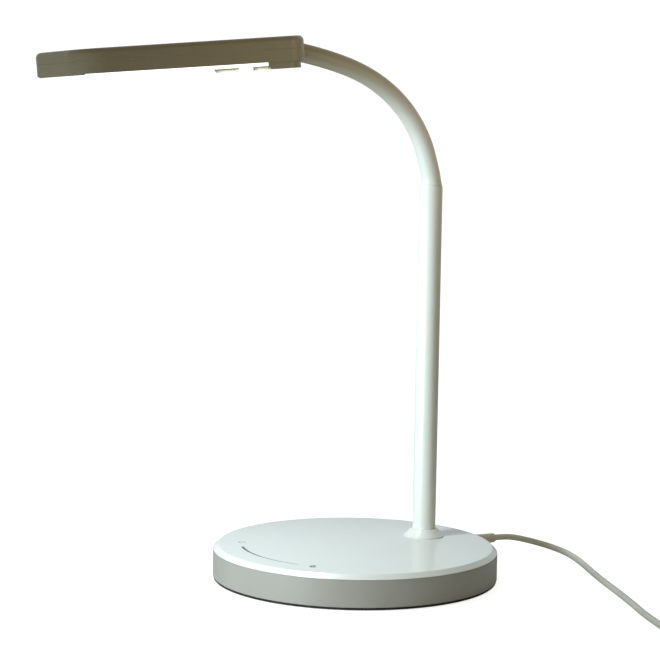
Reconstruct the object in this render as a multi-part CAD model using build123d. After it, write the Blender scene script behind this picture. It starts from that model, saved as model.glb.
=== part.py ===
from build123d import *
import math
import os

# ---------------------------------------------------------------------------
# Round-base LED desk lamp with a bendable neck.  Millimetres, +Z up, the lamp
# stands on z = 0 with the base's axis at x = y = 0.  The head points to -Y,
# the post stands at the back (+Y) and the supply lead leaves the back rim.
# ---------------------------------------------------------------------------

# base
BASE_R = 92.0            # outer radius of the side band
BASE_H = 21.62           # floor to top face
BAND_TOP = 18.37          # where the side band ends and the cover's chamfer starts
TOP_R = 88.8             # edge of the flat top face
FOOT_H = 2.15             # underside of the shell's floor, where the foot ring sits
SKIRT_H = 1.55           # floor to the lower edge of the side band
FOOT_R_OUT = 90.0
FOOT_FLANGE_R = 91.6     # the foot ring's flange, almost flush with the side band
FOOT_R_IN = 78.0
SHELL_WALL = 2.2
SHELL_FLOOR = 2.2
COVER_T = 2.4            # top cover's skin
WEIGHT_R = 68.0
WEIGHT_T = 6.0
BOSS_R_POS = 79.0        # circle of the four cover screws
WEIGHT_SCREW_POS = 60.0

# post
POST_Y = 54.8
POST_R = 7.6
POST_WALL = 1.2
POST_BOTTOM = 11.45
POST_TOP = 253.35
COLLAR_R = 13.3
COLLAR_TOP_R = 9.0
COLLAR_H = 5.2

# neck: joint centres in the lamp's mid-plane, as (distance forward of the post axis, height)
NECK_R = 5.95             # outside of a neck link, sleeve included
BALL_R = 4.95
SOCKET_R = 5.0
SKIRT = 1.6              # how far a link's skirt reaches past its joint centre
SHOULDER = 4.6           # from a joint centre back to the lower link's shoulder
BALL_NECK_R = 2.6
LEAD_BORE_R = 1.2
NECK_PTS = [
    (0.0, 260.35),
    (5.2, 276.7),
    (13.5, 291.2),
    (24.5, 304.1),
    (37.7, 314.6),
    (52.2, 322.35),
    (68.3, 328.0),
    (84.7, 331.95),
    (101.3, 335.06),
]

# head
HEAD_S = 114.4           # rear face, forward of the post axis
HEAD_Z = 336.38          # rear face centre
HEAD_DROOP = 5.69        # tip lower than the neck end, degrees
HEAD_L = 155.0
HEAD_W = 72.0
HEAD_T0 = 15.1           # thickness at the neck end
HEAD_T1 = 13.96          # thickness at the tip
HEAD_WALL = 1.8
HEAD_R = 17.0            # the head's corners, seen from above
EDGE_R = 3.1             # rounding of the top edge, all the way round
LENS_DROP0 = 1.95        # how far the diffuser stands below the bezel, next to the rear block
LENS_DROP1 = 0.55        # the same at the tip
BLOCK_DROP = 4.1         # how far the opaque rear block stands below the bezel
LENS_IN = 2.6            # inset of the block and the diffuser from the bezel's sides
LENS_REAR = 31.6         # front of the rear block, from the rear face
LENS_END = 5.6           # opaque lip at the tip
LENS_TIP = 0.7           # the lip's inset from the tip face

# supply lead
CORD_D = 4.2
JACK_X = -8.0
JACK_Z = 12.35
COIL_C = (246.0, 87.0)
COIL_R = 20.0            # middle of the turns
COIL_W = 12.7
COIL_H = 12.7
COIL_Z0 = 0.85

os.makedirs("parts", exist_ok=True)


def save(node, shape):
    shape.label = node
    export_step(shape, "parts/" + node + ".step")
    print(node, "volume", round(shape.volume, 2))


def cyl(r, z0, z1, x=0.0, y=0.0):
    return Pos(x, y, z0) * Cylinder(r, z1 - z0, align=(Align.CENTER, Align.CENTER, Align.MIN))


def box(x0, x1, y0, y1, z0, z1):
    return Pos(x0, y0, z0) * Box(x1 - x0, y1 - y0, z1 - z0, align=(Align.MIN, Align.MIN, Align.MIN))


def revolve_pts(pts):
    with BuildPart() as bp:
        with BuildSketch(Plane.XZ):
            with BuildLine():
                Polyline(*[(p[0], p[1]) for p in pts], close=True)
            make_face()
        revolve(axis=Axis.Z)
    return bp.part.solids()[0]


def polar(r, deg):
    return (r * math.cos(math.radians(deg)), r * math.sin(math.radians(deg)))


# ---------------------------------------------------------------------------
# Base
# ---------------------------------------------------------------------------
# lower shell: a tub with the visible side band, its floor and four screw bosses
tub = revolve_pts([
    (0.0, FOOT_H), (FOOT_R_OUT, FOOT_H), (FOOT_R_OUT, SKIRT_H), (BASE_R - 0.3, SKIRT_H), (BASE_R, SKIRT_H + 0.3),
    (BASE_R, BAND_TOP), (0.0, BAND_TOP),
])
tub = tub - cyl(BASE_R - SHELL_WALL, FOOT_H + SHELL_FLOOR, BAND_TOP + 1)
# groove for the foot ring
tub = tub - (cyl(FOOT_R_OUT - 1.4, FOOT_H - 0.5, FOOT_H + 0.8) - cyl(FOOT_R_IN + 0.4, FOOT_H - 0.5, FOOT_H + 0.8))
screw_angles = [45, 135, 225, 315]
for a in screw_angles:
    x, y = polar(BOSS_R_POS - 6.5, a)
    tub = tub + cyl(4.2, FOOT_H + SHELL_FLOOR - 0.5, 9.4, x, y)
    tub = tub - cyl(1.7, FOOT_H - 1, 10.4, x, y)
    tub = tub - cyl(3.3, FOOT_H - 1, FOOT_H + 2.4, x, y)
weight_angles = [90 - 60, 90 + 60, 270]
for a in weight_angles:
    x, y = polar(WEIGHT_SCREW_POS, a)
    tub = tub - cyl(1.7, FOOT_H - 1, 6.0, x, y)
    tub = tub - cyl(3.2, FOOT_H - 1, FOOT_H + 1.2, x, y)
# opening for the supply socket in the back wall
jack_y = math.sqrt(BASE_R ** 2 - JACK_X ** 2)
tub = tub - (Pos(JACK_X, jack_y, JACK_Z) * Rot(90, 0, 0) * Cylinder(5.0, 12))
tub = tub.solids().sort_by(SortBy.VOLUME)[-1]
save("base_lower_shell", tub)

# foot ring, set in the shell's groove
ring = revolve_pts([
    (FOOT_R_IN + 0.4, 0.5), (FOOT_R_IN + 0.9, 0.0), (FOOT_FLANGE_R - 0.4, 0.0), (FOOT_FLANGE_R, 0.4),
    (FOOT_FLANGE_R, SKIRT_H - 0.03), (FOOT_R_OUT - 0.05, SKIRT_H - 0.03), (FOOT_R_OUT - 0.05, FOOT_H),
    (FOOT_R_OUT - 1.4, FOOT_H), (FOOT_R_OUT - 1.4, FOOT_H + 0.8), (FOOT_R_IN + 0.4, FOOT_H + 0.8),
])
save("foot_ring", ring)

# top cover: flat disc with a chamfered rim, a locating lip and four posts for the screws
cover = revolve_pts([
    (0.0, BASE_H - COVER_T), (BASE_R - SHELL_WALL - 2.2, BASE_H - COVER_T), (BASE_R - SHELL_WALL - 2.2, 15.1),
    (BASE_R - SHELL_WALL - 0.15, 15.1), (BASE_R - SHELL_WALL - 0.15, BAND_TOP + 0.12), (BASE_R, BAND_TOP + 0.12),
    (TOP_R + 0.35, BASE_H - 0.25), (TOP_R - 0.2, BASE_H), (0.0, BASE_H),
])
for a in screw_angles:
    x, y = polar(BOSS_R_POS - 6.5, a)
    cover = cover + cyl(4.2, 9.45, BASE_H - COVER_T + 0.3, x, y)
    cover = cover - cyl(1.3, 9.0, 17.3, x, y)
cover = cover - cyl(POST_R + 0.05, 10, 27, 0, POST_Y)
# notch in the lip over the supply socket
cover = cover - box(JACK_X - 8, JACK_X + 8, 80, 91.0, 13.0, BASE_H - COVER_T)
# shallow seats for the printed inlays
SLIDER_R = 73.9
SLIDER_A0, SLIDER_A1 = -111.5, -62.0
INLAY_T = 0.3


def crescent(r, a0, a1, w0, w1, z0, z1, n=13):
    outer, inner = [], []
    for i in range(n):
        t = i / (n - 1)
        a = a0 + (a1 - a0) * t
        w = w0 + (w1 - w0) * t
        outer.append(polar(r + w / 2, a))
        inner.append(polar(r - w / 2, a))
    with BuildPart() as bp:
        with BuildSketch(Plane.XY.offset(z0)):
            with BuildLine():
                Spline(*outer)
                Spline(*inner)
                Line(outer[0], inner[0])
                Line(outer[-1], inner[-1])
            make_face()
        extrude(amount=z1 - z0)
    return bp.part.solids()[0]


slider = crescent(SLIDER_R, SLIDER_A0, SLIDER_A1, 2.2, 0.9, BASE_H - INLAY_T, BASE_H)
power_xy = polar(74.6, -53.8)
mode_xy = polar(73.4, -122.4)


def ring_mark(cx, cy, r_out, r_in, z0, z1):
    return cyl(r_out, z0, z1, cx, cy) - cyl(r_in, z0 - 1, z1 + 1, cx, cy)


def power_shape(z0, z1):
    # ring with a gap and a bar in the gap, turned to face the front
    a = -53.8
    r = ring_mark(0, 0, 2.3, 1.6, z0, z1)
    r = r - box(-0.75, 0.75, 0.4, 4.0, z0 - 1, z1 + 1)
    bar = box(-0.33, 0.33, 0.2, 2.7, z0, z1)
    s = Compound([*r.solids(), *bar.solids()])
    return Pos(power_xy[0], power_xy[1], 0) * Rot(0, 0, a + 90) * s


def mode_shape(z0, z1):
    return Pos(mode_xy[0], mode_xy[1], 0) * ring_mark(0, 0, 2.3, 1.75, z0, z1)


power = power_shape(BASE_H - INLAY_T, BASE_H)
mode = mode_shape(BASE_H - INLAY_T, BASE_H)
cover = cover - crescent(SLIDER_R, SLIDER_A0, SLIDER_A1, 2.2, 0.9, BASE_H - INLAY_T, BASE_H + 1)
for s in power_shape(BASE_H - INLAY_T, BASE_H + 1).solids():
    cover = cover - s
cover = cover - mode_shape(BASE_H - INLAY_T, BASE_H + 1)
cover = cover.solids().sort_by(SortBy.VOLUME)[-1]
save("base_top_cover", cover)
save("slider_mark", slider)
save("power_mark", power)
save("mode_mark", mode.solids()[0])

# cover screws, driven from below
screws = []
for a in screw_angles:
    x, y = polar(BOSS_R_POS - 6.5, a)
    s = cyl(2.9, FOOT_H + 0.9, FOOT_H + 2.4, x, y) + cyl(1.25, FOOT_H + 2.3, 16.3, x, y)
    s = s - (Pos(x, y, FOOT_H + 0.9) * Box(0.8, 3.6, 1.4)) - (Pos(x, y, FOOT_H + 0.9) * Box(3.6, 0.8, 1.4))
    screws.append(s.solids().sort_by(SortBy.VOLUME)[-1])
save("base_screws", Compound(screws))

# ballast plate
WZ0 = FOOT_H + SHELL_FLOOR + 0.05
WZ1 = WZ0 + WEIGHT_T
weight = cyl(WEIGHT_R, WZ0, WZ1)
weight = chamfer(weight.edges(), 0.6)
weight = weight - cyl(6.2, WZ0 - 1, WZ1 + 1, 0, POST_Y)
for a in screw_angles:
    x, y = polar(BOSS_R_POS - 6.5, a)
    weight = weight - cyl(5.2, WZ0 - 1, WZ1 + 1, x, y)
for a in weight_angles:
    x, y = polar(WEIGHT_SCREW_POS, a)
    weight = weight - cyl(1.2, WZ0 - 1, WZ1 - 1.0, x, y)
weight = weight.solids().sort_by(SortBy.VOLUME)[-1]
save("base_weight", weight)

wscrews = []
for a in weight_angles:
    x, y = polar(WEIGHT_SCREW_POS, a)
    s = cyl(2.8, FOOT_H + 0.05, FOOT_H + 1.2, x, y) + cyl(1.15, FOOT_H + 1.1, WZ1 - 1.6, x, y)
    s = s - (Pos(x, y, FOOT_H + 0.05) * Box(0.8, 3.4, 1.0)) - (Pos(x, y, FOOT_H + 0.05) * Box(3.4, 0.8, 1.0))
    wscrews.append(s.solids().sort_by(SortBy.VOLUME)[-1])
save("weight_screws", Compound(wscrews))

# touch board: an arc of circuit board under the front of the cover
TB_Z1 = BASE_H - COVER_T - 0.05
TB_Z0 = TB_Z1 - 1.6


def sector(r0, r1, a0, a1, z0, z1):
    with BuildPart() as bp:
        with BuildSketch(Plane.XY.offset(z0)):
            with BuildLine():
                p0, p1 = polar(r0, a0), polar(r1, a0)
                p2, p3 = polar(r1, a1), polar(r0, a1)
                am = (a0 + a1) / 2
                Line(p0, p1)
                ThreePointArc(p1, polar(r1, am), p2)
                Line(p2, p3)
                ThreePointArc(p3, polar(r0, am), p0)
            make_face()
        extrude(amount=z1 - z0)
    return bp.part.solids()[0]


touch = sector(58.0, 84.0, -125.5, -54.5, TB_Z0, TB_Z1)
for a in (225, 315):
    x, y = polar(BOSS_R_POS - 6.5, a)
    touch = touch - cyl(5.0, TB_Z0 - 1, TB_Z1 + 1, x, y)
touch = touch.solids().sort_by(SortBy.VOLUME)[-1]
save("touch_board", touch)
chip = box(-3.5, 3.5, -68.5, -62.5, TB_Z0 - 1.4, TB_Z0 - 0.01)
save("touch_chip", chip)

# LED driver board standing on the ballast, with its parts on top
DB_Z0 = WZ1 + 0.5
driver = box(-38.0, 4.0, 16.0, 40.5, DB_Z0, DB_Z0 + 1.6)
driver = fillet(driver.edges().filter_by(Axis.Z), 1.5)
save("driver_board", driver)
DP_Z = DB_Z0 + 1.61
comps = [
    box(-35.0, -25.0, 21.0, 31.0, DP_Z, DP_Z + 4.2),
    box(-20.0, -15.0, 22.0, 26.0, DP_Z, DP_Z + 1.5),
    box(-20.0, -12.0, 30.0, 36.0, DP_Z, DP_Z + 1.4),
    cyl(2.5, DP_Z, DP_Z + 4.6, -5.0, 25.0),
    cyl(2.5, DP_Z, DP_Z + 4.6, -5.0, 34.0),
]
save("driver_parts", Compound([c.solids()[0] for c in comps]))

# supply socket in the back wall: body with a barrel hole, and its centre pin
jack_body = box(JACK_X - 4.6, JACK_X + 4.6, jack_y - SHELL_WALL - 12.0, jack_y - SHELL_WALL - 1.0, JACK_Z - 5.2, JACK_Z + 5.2)
jack_nose = Pos(JACK_X, jack_y - 1.8, JACK_Z) * Rot(90, 0, 0) * Cylinder(4.85, 3.0)
jack = jack_body + jack_nose
jack = jack - (Pos(JACK_X, jack_y - 5.0, JACK_Z) * Rot(90, 0, 0) * Cylinder(2.85, 10.4))
jack = jack.solids().sort_by(SortBy.VOLUME)[-1]
save("dc_jack", jack)
pin = Pos(JACK_X, jack_y - 6.1, JACK_Z) * Rot(90, 0, 0) * Cylinder(1.0, 8.2)
save("dc_jack_pin", pin.solids()[0])

# ---------------------------------------------------------------------------
# Post
# ---------------------------------------------------------------------------
collar = revolve_pts([
    (POST_R + 0.05, BASE_H + 0.02), (COLLAR_R, BASE_H + 0.02), (COLLAR_R, BASE_H + 0.65), (COLLAR_R - 1.1, BASE_H + 1.7),
    (COLLAR_TOP_R + 1.3, BASE_H + 3.6), (COLLAR_TOP_R + 0.3, BASE_H + 4.7), (COLLAR_TOP_R - 0.2, BASE_H + COLLAR_H),
    (POST_R + 0.05, BASE_H + COLLAR_H),
])
save("post_collar", (Pos(0, POST_Y, 0) * collar).solids()[0])

tube = cyl(POST_R, POST_BOTTOM, POST_TOP, 0, POST_Y)
tube = chamfer(tube.edges().sort_by(Axis.Z)[-1], 0.5)
tube = tube - cyl(POST_R - POST_WALL, POST_BOTTOM - 1, POST_TOP + 1, 0, POST_Y)
save("post_tube", tube.solids()[0])

# foot flange welded round the tube under the cover, and the nut that draws it to the ballast
flange = cyl(13.0, WZ1 + 0.02, WZ1 + 2.6, 0, POST_Y) - cyl(POST_R + 0.02, WZ1 + 1.0, WZ1 + 4, 0, POST_Y)
flange = flange - cyl(6.0, WZ1 - 1, WZ1 + 2, 0, POST_Y)
save("post_flange", flange.solids()[0])
nut = Pos(0, POST_Y, WZ1 + 2.62) * extrude(RegularPolygon(12.4, 6), 3.6)
nut = nut - cyl(POST_R + 0.02, WZ1, WZ1 + 10, 0, POST_Y)
save("post_nut", nut.solids()[0])
stud = cyl(6.0, WZ0 + 0.3, WZ1 + 0.98, 0, POST_Y) - cyl(3.0, WZ0 - 1, WZ1 + 3, 0, POST_Y)
save("post_stud", stud.solids()[0])

# lead inside the post, with its connector at the bottom
lead = cyl(1.1, 22.0, 236.0, 0, POST_Y)
save("post_lead", lead.solids()[0])
conn = box(-3.0, 3.0, POST_Y - 2.2, POST_Y + 2.2, 15.0, 21.98)
save("lead_connector", fillet(conn.edges().filter_by(Axis.Z), 0.5).solids()[0])


# ---------------------------------------------------------------------------
# Neck: hollow ball-and-socket links in the sleeve's outline
# ---------------------------------------------------------------------------
def neck_point(i):
    s, z = NECK_PTS[i]
    return Vector(0, POST_Y - s, z)


def link_plane(p, q):
    d = (q - p).normalized()
    return Plane(origin=p, x_dir=(1, 0, 0), z_dir=d)


def socket_body(length_to_shoulder, r_out, extra=0.0):
    # local: joint centre at 0, body from -SKIRT up to length_to_shoulder
    body = revolve_pts([
        (0.0, -SKIRT), (r_out - 0.7, -SKIRT), (r_out, -SKIRT + 0.7), (r_out, length_to_shoulder - 0.8),
        (r_out - 0.8, length_to_shoulder), (0.0, length_to_shoulder),
    ])
    return body - Sphere(SOCKET_R)


def ball_end(z_shoulder, z_joint):
    b = cyl(BALL_NECK_R, z_shoulder - 0.6, z_joint) + Pos(0, 0, z_joint) * Sphere(BALL_R)
    return b


# lower ferrule: plugs into the post's top and carries the first ball
j0 = neck_point(0)
ferrule = revolve_pts([
    (0.0, 238.0), (POST_R - POST_WALL - 0.02, 238.0), (POST_R - POST_WALL - 0.02, POST_TOP + 0.02), (POST_R - 0.6, POST_TOP + 0.02),
    (POST_R - 0.9, POST_TOP + 0.9), (NECK_R + 0.2, j0.Z - SHOULDER - 0.6), (NECK_R - 0.6, j0.Z - SHOULDER), (0.0, j0.Z - SHOULDER),
])
ferrule = ferrule + cyl(BALL_NECK_R, j0.Z - SHOULDER - 0.6, j0.Z) + Pos(0, 0, j0.Z) * Sphere(BALL_R)
ferrule = Pos(0, POST_Y, 0) * ferrule
ferrule = ferrule - cyl(LEAD_BORE_R, 230, 275, 0, POST_Y)
save("lower_neck_ferrule", ferrule.solids().sort_by(SortBy.VOLUME)[-1])

for i in range(len(NECK_PTS) - 1):
    p, q = neck_point(i), neck_point(i + 1)
    L = (q - p).length
    link = socket_body(L - SHOULDER, NECK_R) + ball_end(L - SHOULDER, L)
    link = link - cyl(LEAD_BORE_R, -10, L + 10)
    link = link_plane(p, q) * link.solids().sort_by(SortBy.VOLUME)[-1]
    save("neck_link_%d" % (i + 1), link.solids()[0])

# upper ferrule: last socket, and the tail clamped inside the head
j8 = neck_point(len(NECK_PTS) - 1)
head_o = Vector(0, POST_Y - HEAD_S, HEAD_Z)
dr = math.radians(HEAD_DROOP)
# the head's own plane: y along the head from the rear face to the tip, z up
# through its thickness, seam between the two covers at z = 0
head_plane = Plane(origin=head_o, x_dir=(-1, 0, 0), z_dir=(0, -math.sin(dr), math.cos(dr)))
TAIL_R = 4.2
TAIL_L = 14.5
fd = (head_o - j8).normalized()
FL = (head_o - j8).length
along = Plane(origin=(0, 0, 0), x_dir=(1, 0, 0), z_dir=(0, 1, 0))
uf = revolve_pts([
    (0.0, -SKIRT), (NECK_R - 0.7, -SKIRT), (NECK_R, -SKIRT + 0.7), (NECK_R, FL - 0.4), (0.0, FL - 0.4),
]) - Sphere(SOCKET_R)
uf = link_plane(j8, head_o) * (uf - cyl(LEAD_BORE_R, -10, FL + 0.4)).solids().sort_by(SortBy.VOLUME)[-1]
tail = along * (cyl(TAIL_R, -2.0, TAIL_L) - cyl(LEAD_BORE_R, -1.0, TAIL_L + 1))
uf = uf + head_plane * tail
uf = uf - head_plane * (along * cyl(LEAD_BORE_R, -2.0, TAIL_L + 1)) - link_plane(j8, head_o) * cyl(LEAD_BORE_R, -10, FL)
save("upper_neck_ferrule", uf.solids().sort_by(SortBy.VOLUME)[-1])

# ---------------------------------------------------------------------------
# Head
# ---------------------------------------------------------------------------


def top_z(y):
    return HEAD_T0 / 2 + (HEAD_T1 - HEAD_T0) / 2 * y / HEAD_L


def side_profile(inset, zlo, r_rear=0.0, r_tip=0.0):
    # closed outline in (y, z): from zlo up to the top surface, inset all round
    y0, y1 = inset, HEAD_L - inset
    z0, z1 = top_z(y0) - inset, top_z(y1) - inset
    with BuildSketch() as sk:
        with BuildLine():
            Polyline((y0, zlo), (y1, zlo), (y1, z1), (y0, z0), close=True)
        make_face()
        if r_rear > 0:
            rear = [v for v in sk.vertices() if abs(v.X - y0) < 1e-6 and v.Y > zlo + 1][0]
            fillet(rear, r_rear)
        if r_tip > 0:
            tip = [v for v in sk.vertices() if abs(v.X - y1) < 1e-6 and v.Y > zlo + 1][0]
            fillet(tip, r_tip)
    return sk.sketch


def extrude_profile(sk, w):
    # the sketch's x is the head's y, its y is the head's z; extruded across the head
    pl = Plane(origin=(-w / 2, 0, 0), x_dir=(0, 1, 0), z_dir=(1, 0, 0))
    return extrude(pl * sk, w)


def plan(w, y0, y1, r, z0, z1):
    s = Pos(0, (y0 + y1) / 2, z0) * RectangleRounded(w, y1 - y0, r)
    return extrude(s, z1 - z0)


def inset_plan(d, z0, z1):
    # outline of the head set in by d all round
    return plan(HEAD_W - 2 * d, d, HEAD_L - d, HEAD_R - d, z0, z1)


upper = extrude_profile(side_profile(0.0, 0.06), HEAD_W) & inset_plan(0.0, -1, 12)
upper = upper.solids()[0]
upper = fillet(upper.faces().sort_by(Axis.Z)[-1].edges(), EDGE_R)
upper_in = extrude_profile(side_profile(HEAD_WALL, -2.0, r_rear=1.5, r_tip=1.5), HEAD_W - 2 * HEAD_WALL) & inset_plan(
    HEAD_WALL, -3, 12)
upper = upper - upper_in
# hole for the neck in the rear wall, half in each cover
fa = math.degrees(math.asin(fd.Z))  # ferrule's own slope
neck_dir_local = Vector(0, math.cos(math.radians(HEAD_DROOP + fa)), math.sin(math.radians(HEAD_DROOP + fa)))
neck_hole = Plane(origin=(0, 0, 0), x_dir=(1, 0, 0), z_dir=neck_dir_local) * cyl(NECK_R + 0.3, -4, 6)
upper = upper - neck_hole
# screw posts in the upper cover
hs_xy = [(-HEAD_W / 2 + 7.6, 20.5), (HEAD_W / 2 - 7.6, 20.5), (-14.0, 8.0), (14.0, 8.0)]
for x, y in hs_xy:
    upper = upper + cyl(2.6, 0.6, top_z(y) - HEAD_WALL + 0.3, x, y)
    upper = upper - cyl(0.95, 0.0, 5.0, x, y)
upper = upper.solids().sort_by(SortBy.VOLUME)[-1]
save("head_top_cover", head_plane * upper)

# lower bezel: side wall below the seam, rear floor, and the frame round the diffuser
low_sk = side_profile(0.0, 0.06, r_rear=2.0, r_tip=1.6)
lower = extrude_profile(low_sk, HEAD_W) & inset_plan(0.0, -1, 12)
lower = mirror(lower, Plane.XY)
low_in = mirror(extrude_profile(side_profile(HEAD_WALL, -2.0, r_rear=1.0, r_tip=1.0), HEAD_W - 2 * HEAD_WALL) & inset_plan(
    HEAD_WALL, -3, 12), Plane.XY)
# underside: an opaque rear block, the wedge-shaped diffuser (deeper at the neck end) and a lip at the tip
PW = HEAD_W - 2 * LENS_IN
DY = HEAD_L - LENS_END
pz0 = -(top_z(LENS_REAR) + LENS_DROP0)
pz1 = -(top_z(HEAD_L - LENS_TIP) + LENS_DROP1)
slope = (pz1 - pz0) / (HEAD_L - LENS_TIP - LENS_REAR)
with BuildSketch() as psk:
    with BuildLine():
        Polyline((LENS_REAR, -5.0), (HEAD_L - LENS_TIP, -5.0), (HEAD_L - LENS_TIP, pz1), (LENS_REAR, pz0), close=True)
    make_face()
panel = extrude_profile(psk.sketch, HEAD_W) & inset_plan(LENS_IN, -14, 0)
lip_plan = plan(PW, LENS_REAR, HEAD_L - LENS_TIP, HEAD_R - LENS_IN, -14, 0)
lip = extrude_profile(psk.sketch, HEAD_W) & lip_plan & box(-40, 40, DY + 0.08, HEAD_L, -14, 0)
# the block's front face leans back from the diffuser's surface down
bz0, bz1 = -(top_z(0.0) + BLOCK_DROP), -(top_z(LENS_REAR) + BLOCK_DROP)
with BuildSketch() as bsk:
    with BuildLine():
        Polyline((LENS_IN, -5.0), (LENS_REAR - 0.1, -5.0), (LENS_REAR - 0.1, pz0), (LENS_REAR - 2.0, bz1), (LENS_IN, bz0), close=True)
    make_face()
    low_rear = [v for v in bsk.vertices() if abs(v.X - LENS_IN) < 1e-6 and v.Y < -6][0]
    fillet(low_rear, 1.6)
rear_block = extrude_profile(bsk.sketch, HEAD_W) & inset_plan(LENS_IN, -14, 0)
lower = lower + rear_block + lip
low_floor_cut = inset_plan(LENS_IN + 1.7, -9.4, 0) & box(-40, 40, 0, LENS_REAR - 2.0, -14, 1)
lower = lower - low_in - low_floor_cut
# window for the diffuser
lower = lower - (plan(PW + 0.16, LENS_REAR - 0.1, HEAD_L + 20.0, 0.05, -14, 0.5) & box(-40, 40, 0, DY + 0.08, -14, 0.5) & (
    inset_plan(LENS_IN - 0.08, -14, 0.5)))
lower = lower - neck_hole
for x, y in hs_xy:
    zf = -(top_z(y) + 1.7)
    lower = lower + (cyl(2.6, -9.9, 0.4, x, y) & (rear_block + box(-40, 40, 0, LENS_REAR - 2, -8.0, 0.5)) & inset_plan(0.6, -14, 1))
    lower = lower - cyl(1.3, -14, 1, x, y)
    lower = lower - cyl(2.1, -14, -5.6, x, y)
lower = lower.solids().sort_by(SortBy.VOLUME)[-1]
save("head_bottom_bezel", head_plane * lower)

# diffuser: open-topped tray that fills the window and stands below the bezel
lens = panel & box(-40, 40, LENS_REAR + 0.05, DY, -14, -4.2)
lens_cut = inset_plan(LENS_IN + 1.6, -6.4, 0) & box(-40, 40, LENS_REAR + 1.6, DY - 1.6, -14, 0)
lens = lens - lens_cut
lens = lens.solids().sort_by(SortBy.VOLUME)[-1]
save("diffuser", head_plane * lens)

# sensor pad under the start of the diffuser, level with the rear block
pad_y = LENS_REAR + 1.85
pz = pz0 + slope * (pad_y - LENS_REAR) - 0.01
tilt = math.degrees(math.atan(slope))
pad = Pos(-10.0, 0, -1.9) * extrude(RectangleRounded(12.0, 3.4, 0.8), 1.9)
pad = Pos(0, pad_y, pz) * Rot(tilt, 0, 0) * pad
save("sensor_pad", head_plane * pad.solids()[0])

# reflector tray, LED board and its diodes, above the diffuser
refl = inset_plan(LENS_IN + 1.8, -4.0, 2.2) & box(-40, 40, LENS_REAR + 1.9, DY - 1.9, -5, 3)
refl = refl - (inset_plan(LENS_IN + 3.0, -5.0, 1.2) & box(-40, 40, LENS_REAR + 3.1, DY - 3.1, -5.5, 3))
save("reflector", head_plane * refl.solids()[0])
led_board = plan(14.0, LENS_REAR + 8.0, HEAD_L - 14.0, 1.0, -0.2, 1.15)
save("led_board", head_plane * led_board.solids()[0])
leds = []
for k in range(12):
    y = LENS_REAR + 13.0 + k * (HEAD_L - 14.0 - 5.0 - LENS_REAR - 13.0) / 11
    for x in (-3.6, 3.6):
        leds.append(box(x - 1.4, x + 1.4, y - 1.75, y + 1.75, -0.95, -0.22).solids()[0])
save("leds", head_plane * Compound(leds))

# clamp that grips the ferrule's tail, with two screws up into the upper cover
clamp = box(-8.6, 8.6, 9.2, 17.2, -5.1, 5.2)
tail_hole = along * cyl(TAIL_R + 0.02, -2, 40)
clamp = clamp - tail_hole
clamp = clamp - cyl(1.0, -6, 4.8, -7.0, 13.2) - cyl(1.0, -6, 4.8, 7.0, 13.2)
save("neck_clamp", head_plane * clamp.solids().sort_by(SortBy.VOLUME)[-1])
csc = []
for x in (-7.0, 7.0):
    s = cyl(1.6, -6.2, -5.12, x, 13.2) + cyl(0.95, -5.2, 4.7, x, 13.2)
    csc.append(s.solids().sort_by(SortBy.VOLUME)[-1])
save("clamp_screws", head_plane * Compound(csc))

hsc = []
for x, y in hs_xy:
    s = cyl(2.0, -7.4, -5.7, x, y) + cyl(0.93, -5.8, 4.4, x, y)
    s = s - (Pos(x, y, -7.4) * Box(0.6, 2.6, 1.2)) - (Pos(x, y, -7.4) * Box(2.6, 0.6, 1.2))
    hsc.append(s.solids().sort_by(SortBy.VOLUME)[-1])
save("head_screws", head_plane * Compound(hsc))

# ---------------------------------------------------------------------------
# Supply lead: barrel plug, grip, strain relief, lead, put-away coil, tie, plug
# ---------------------------------------------------------------------------
PY = jack_y


def rev_y(pts, y0):
    # revolve (radius, distance) about the plug's axis, starting at y0
    return Pos(JACK_X, y0, JACK_Z) * Rot(-90, 0, 0) * revolve_pts(pts)


barrel = rev_y([(1.05, -9.0), (2.35, -9.0), (2.75, -8.6), (2.75, 0.6), (1.05, 0.6)], PY)
save("dc_plug_barrel", barrel.solids()[0])
grip = rev_y([(0, 0.62), (3.6, 0.62), (4.25, 1.3), (4.3, 12.4), (3.9, 13.4), (3.55, 13.6), (0, 13.6)], PY)
save("dc_plug_grip", grip.solids()[0])
relief = rev_y([(0, 13.62), (3.6, 13.62), (3.65, 14.3), (3.25, 27.4), (2.9, 28.6), (CORD_D / 2 + 0.35, 29.0), (0, 29.0)], PY)
save("cord_strain_relief", relief.solids()[0])
EXIT_Y = PY + 29.0

cord_pts = [
    (JACK_X, EXIT_Y, JACK_Z),
    (-8.1, 130.7, 12.2),
    (-7.2, 139.5, 10.6),
    (-6.4, 149.0, 8.1),
    (-1.2, 157.0, 5.7),
    (7.3, 161.9, 3.8),
    (19.4, 162.5, 2.6),
    (34.0, 158.0, 2.15),
    (51.4, 150.1, 2.1),
    (72.3, 139.5, 2.1),
    (97.4, 127.5, 2.1),
    (125.0, 115.3, 2.1),
    (152.4, 102.5, 2.1),
    (177.6, 89.9, 2.1),
    (201.3, 80.5, 2.1),
    (221.8, 70.9, 2.2),
    (240.2, 64.0, 2.7),
]


def runs_and_radii(pts, limit=0.45):
    v = [Vector(*p) for p in pts]
    radii = []
    for i in range(1, len(v) - 1):
        a, b = v[i] - v[i - 1], v[i + 1] - v[i]
        turn = a.get_angle(b)
        r = limit * min(a.length, b.length) / math.tan(math.radians(turn) / 2)
        radii.append(r)
        print("  run %.1f turn %.1f radius %.1f" % (a.length, turn, r))
    return radii


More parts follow.
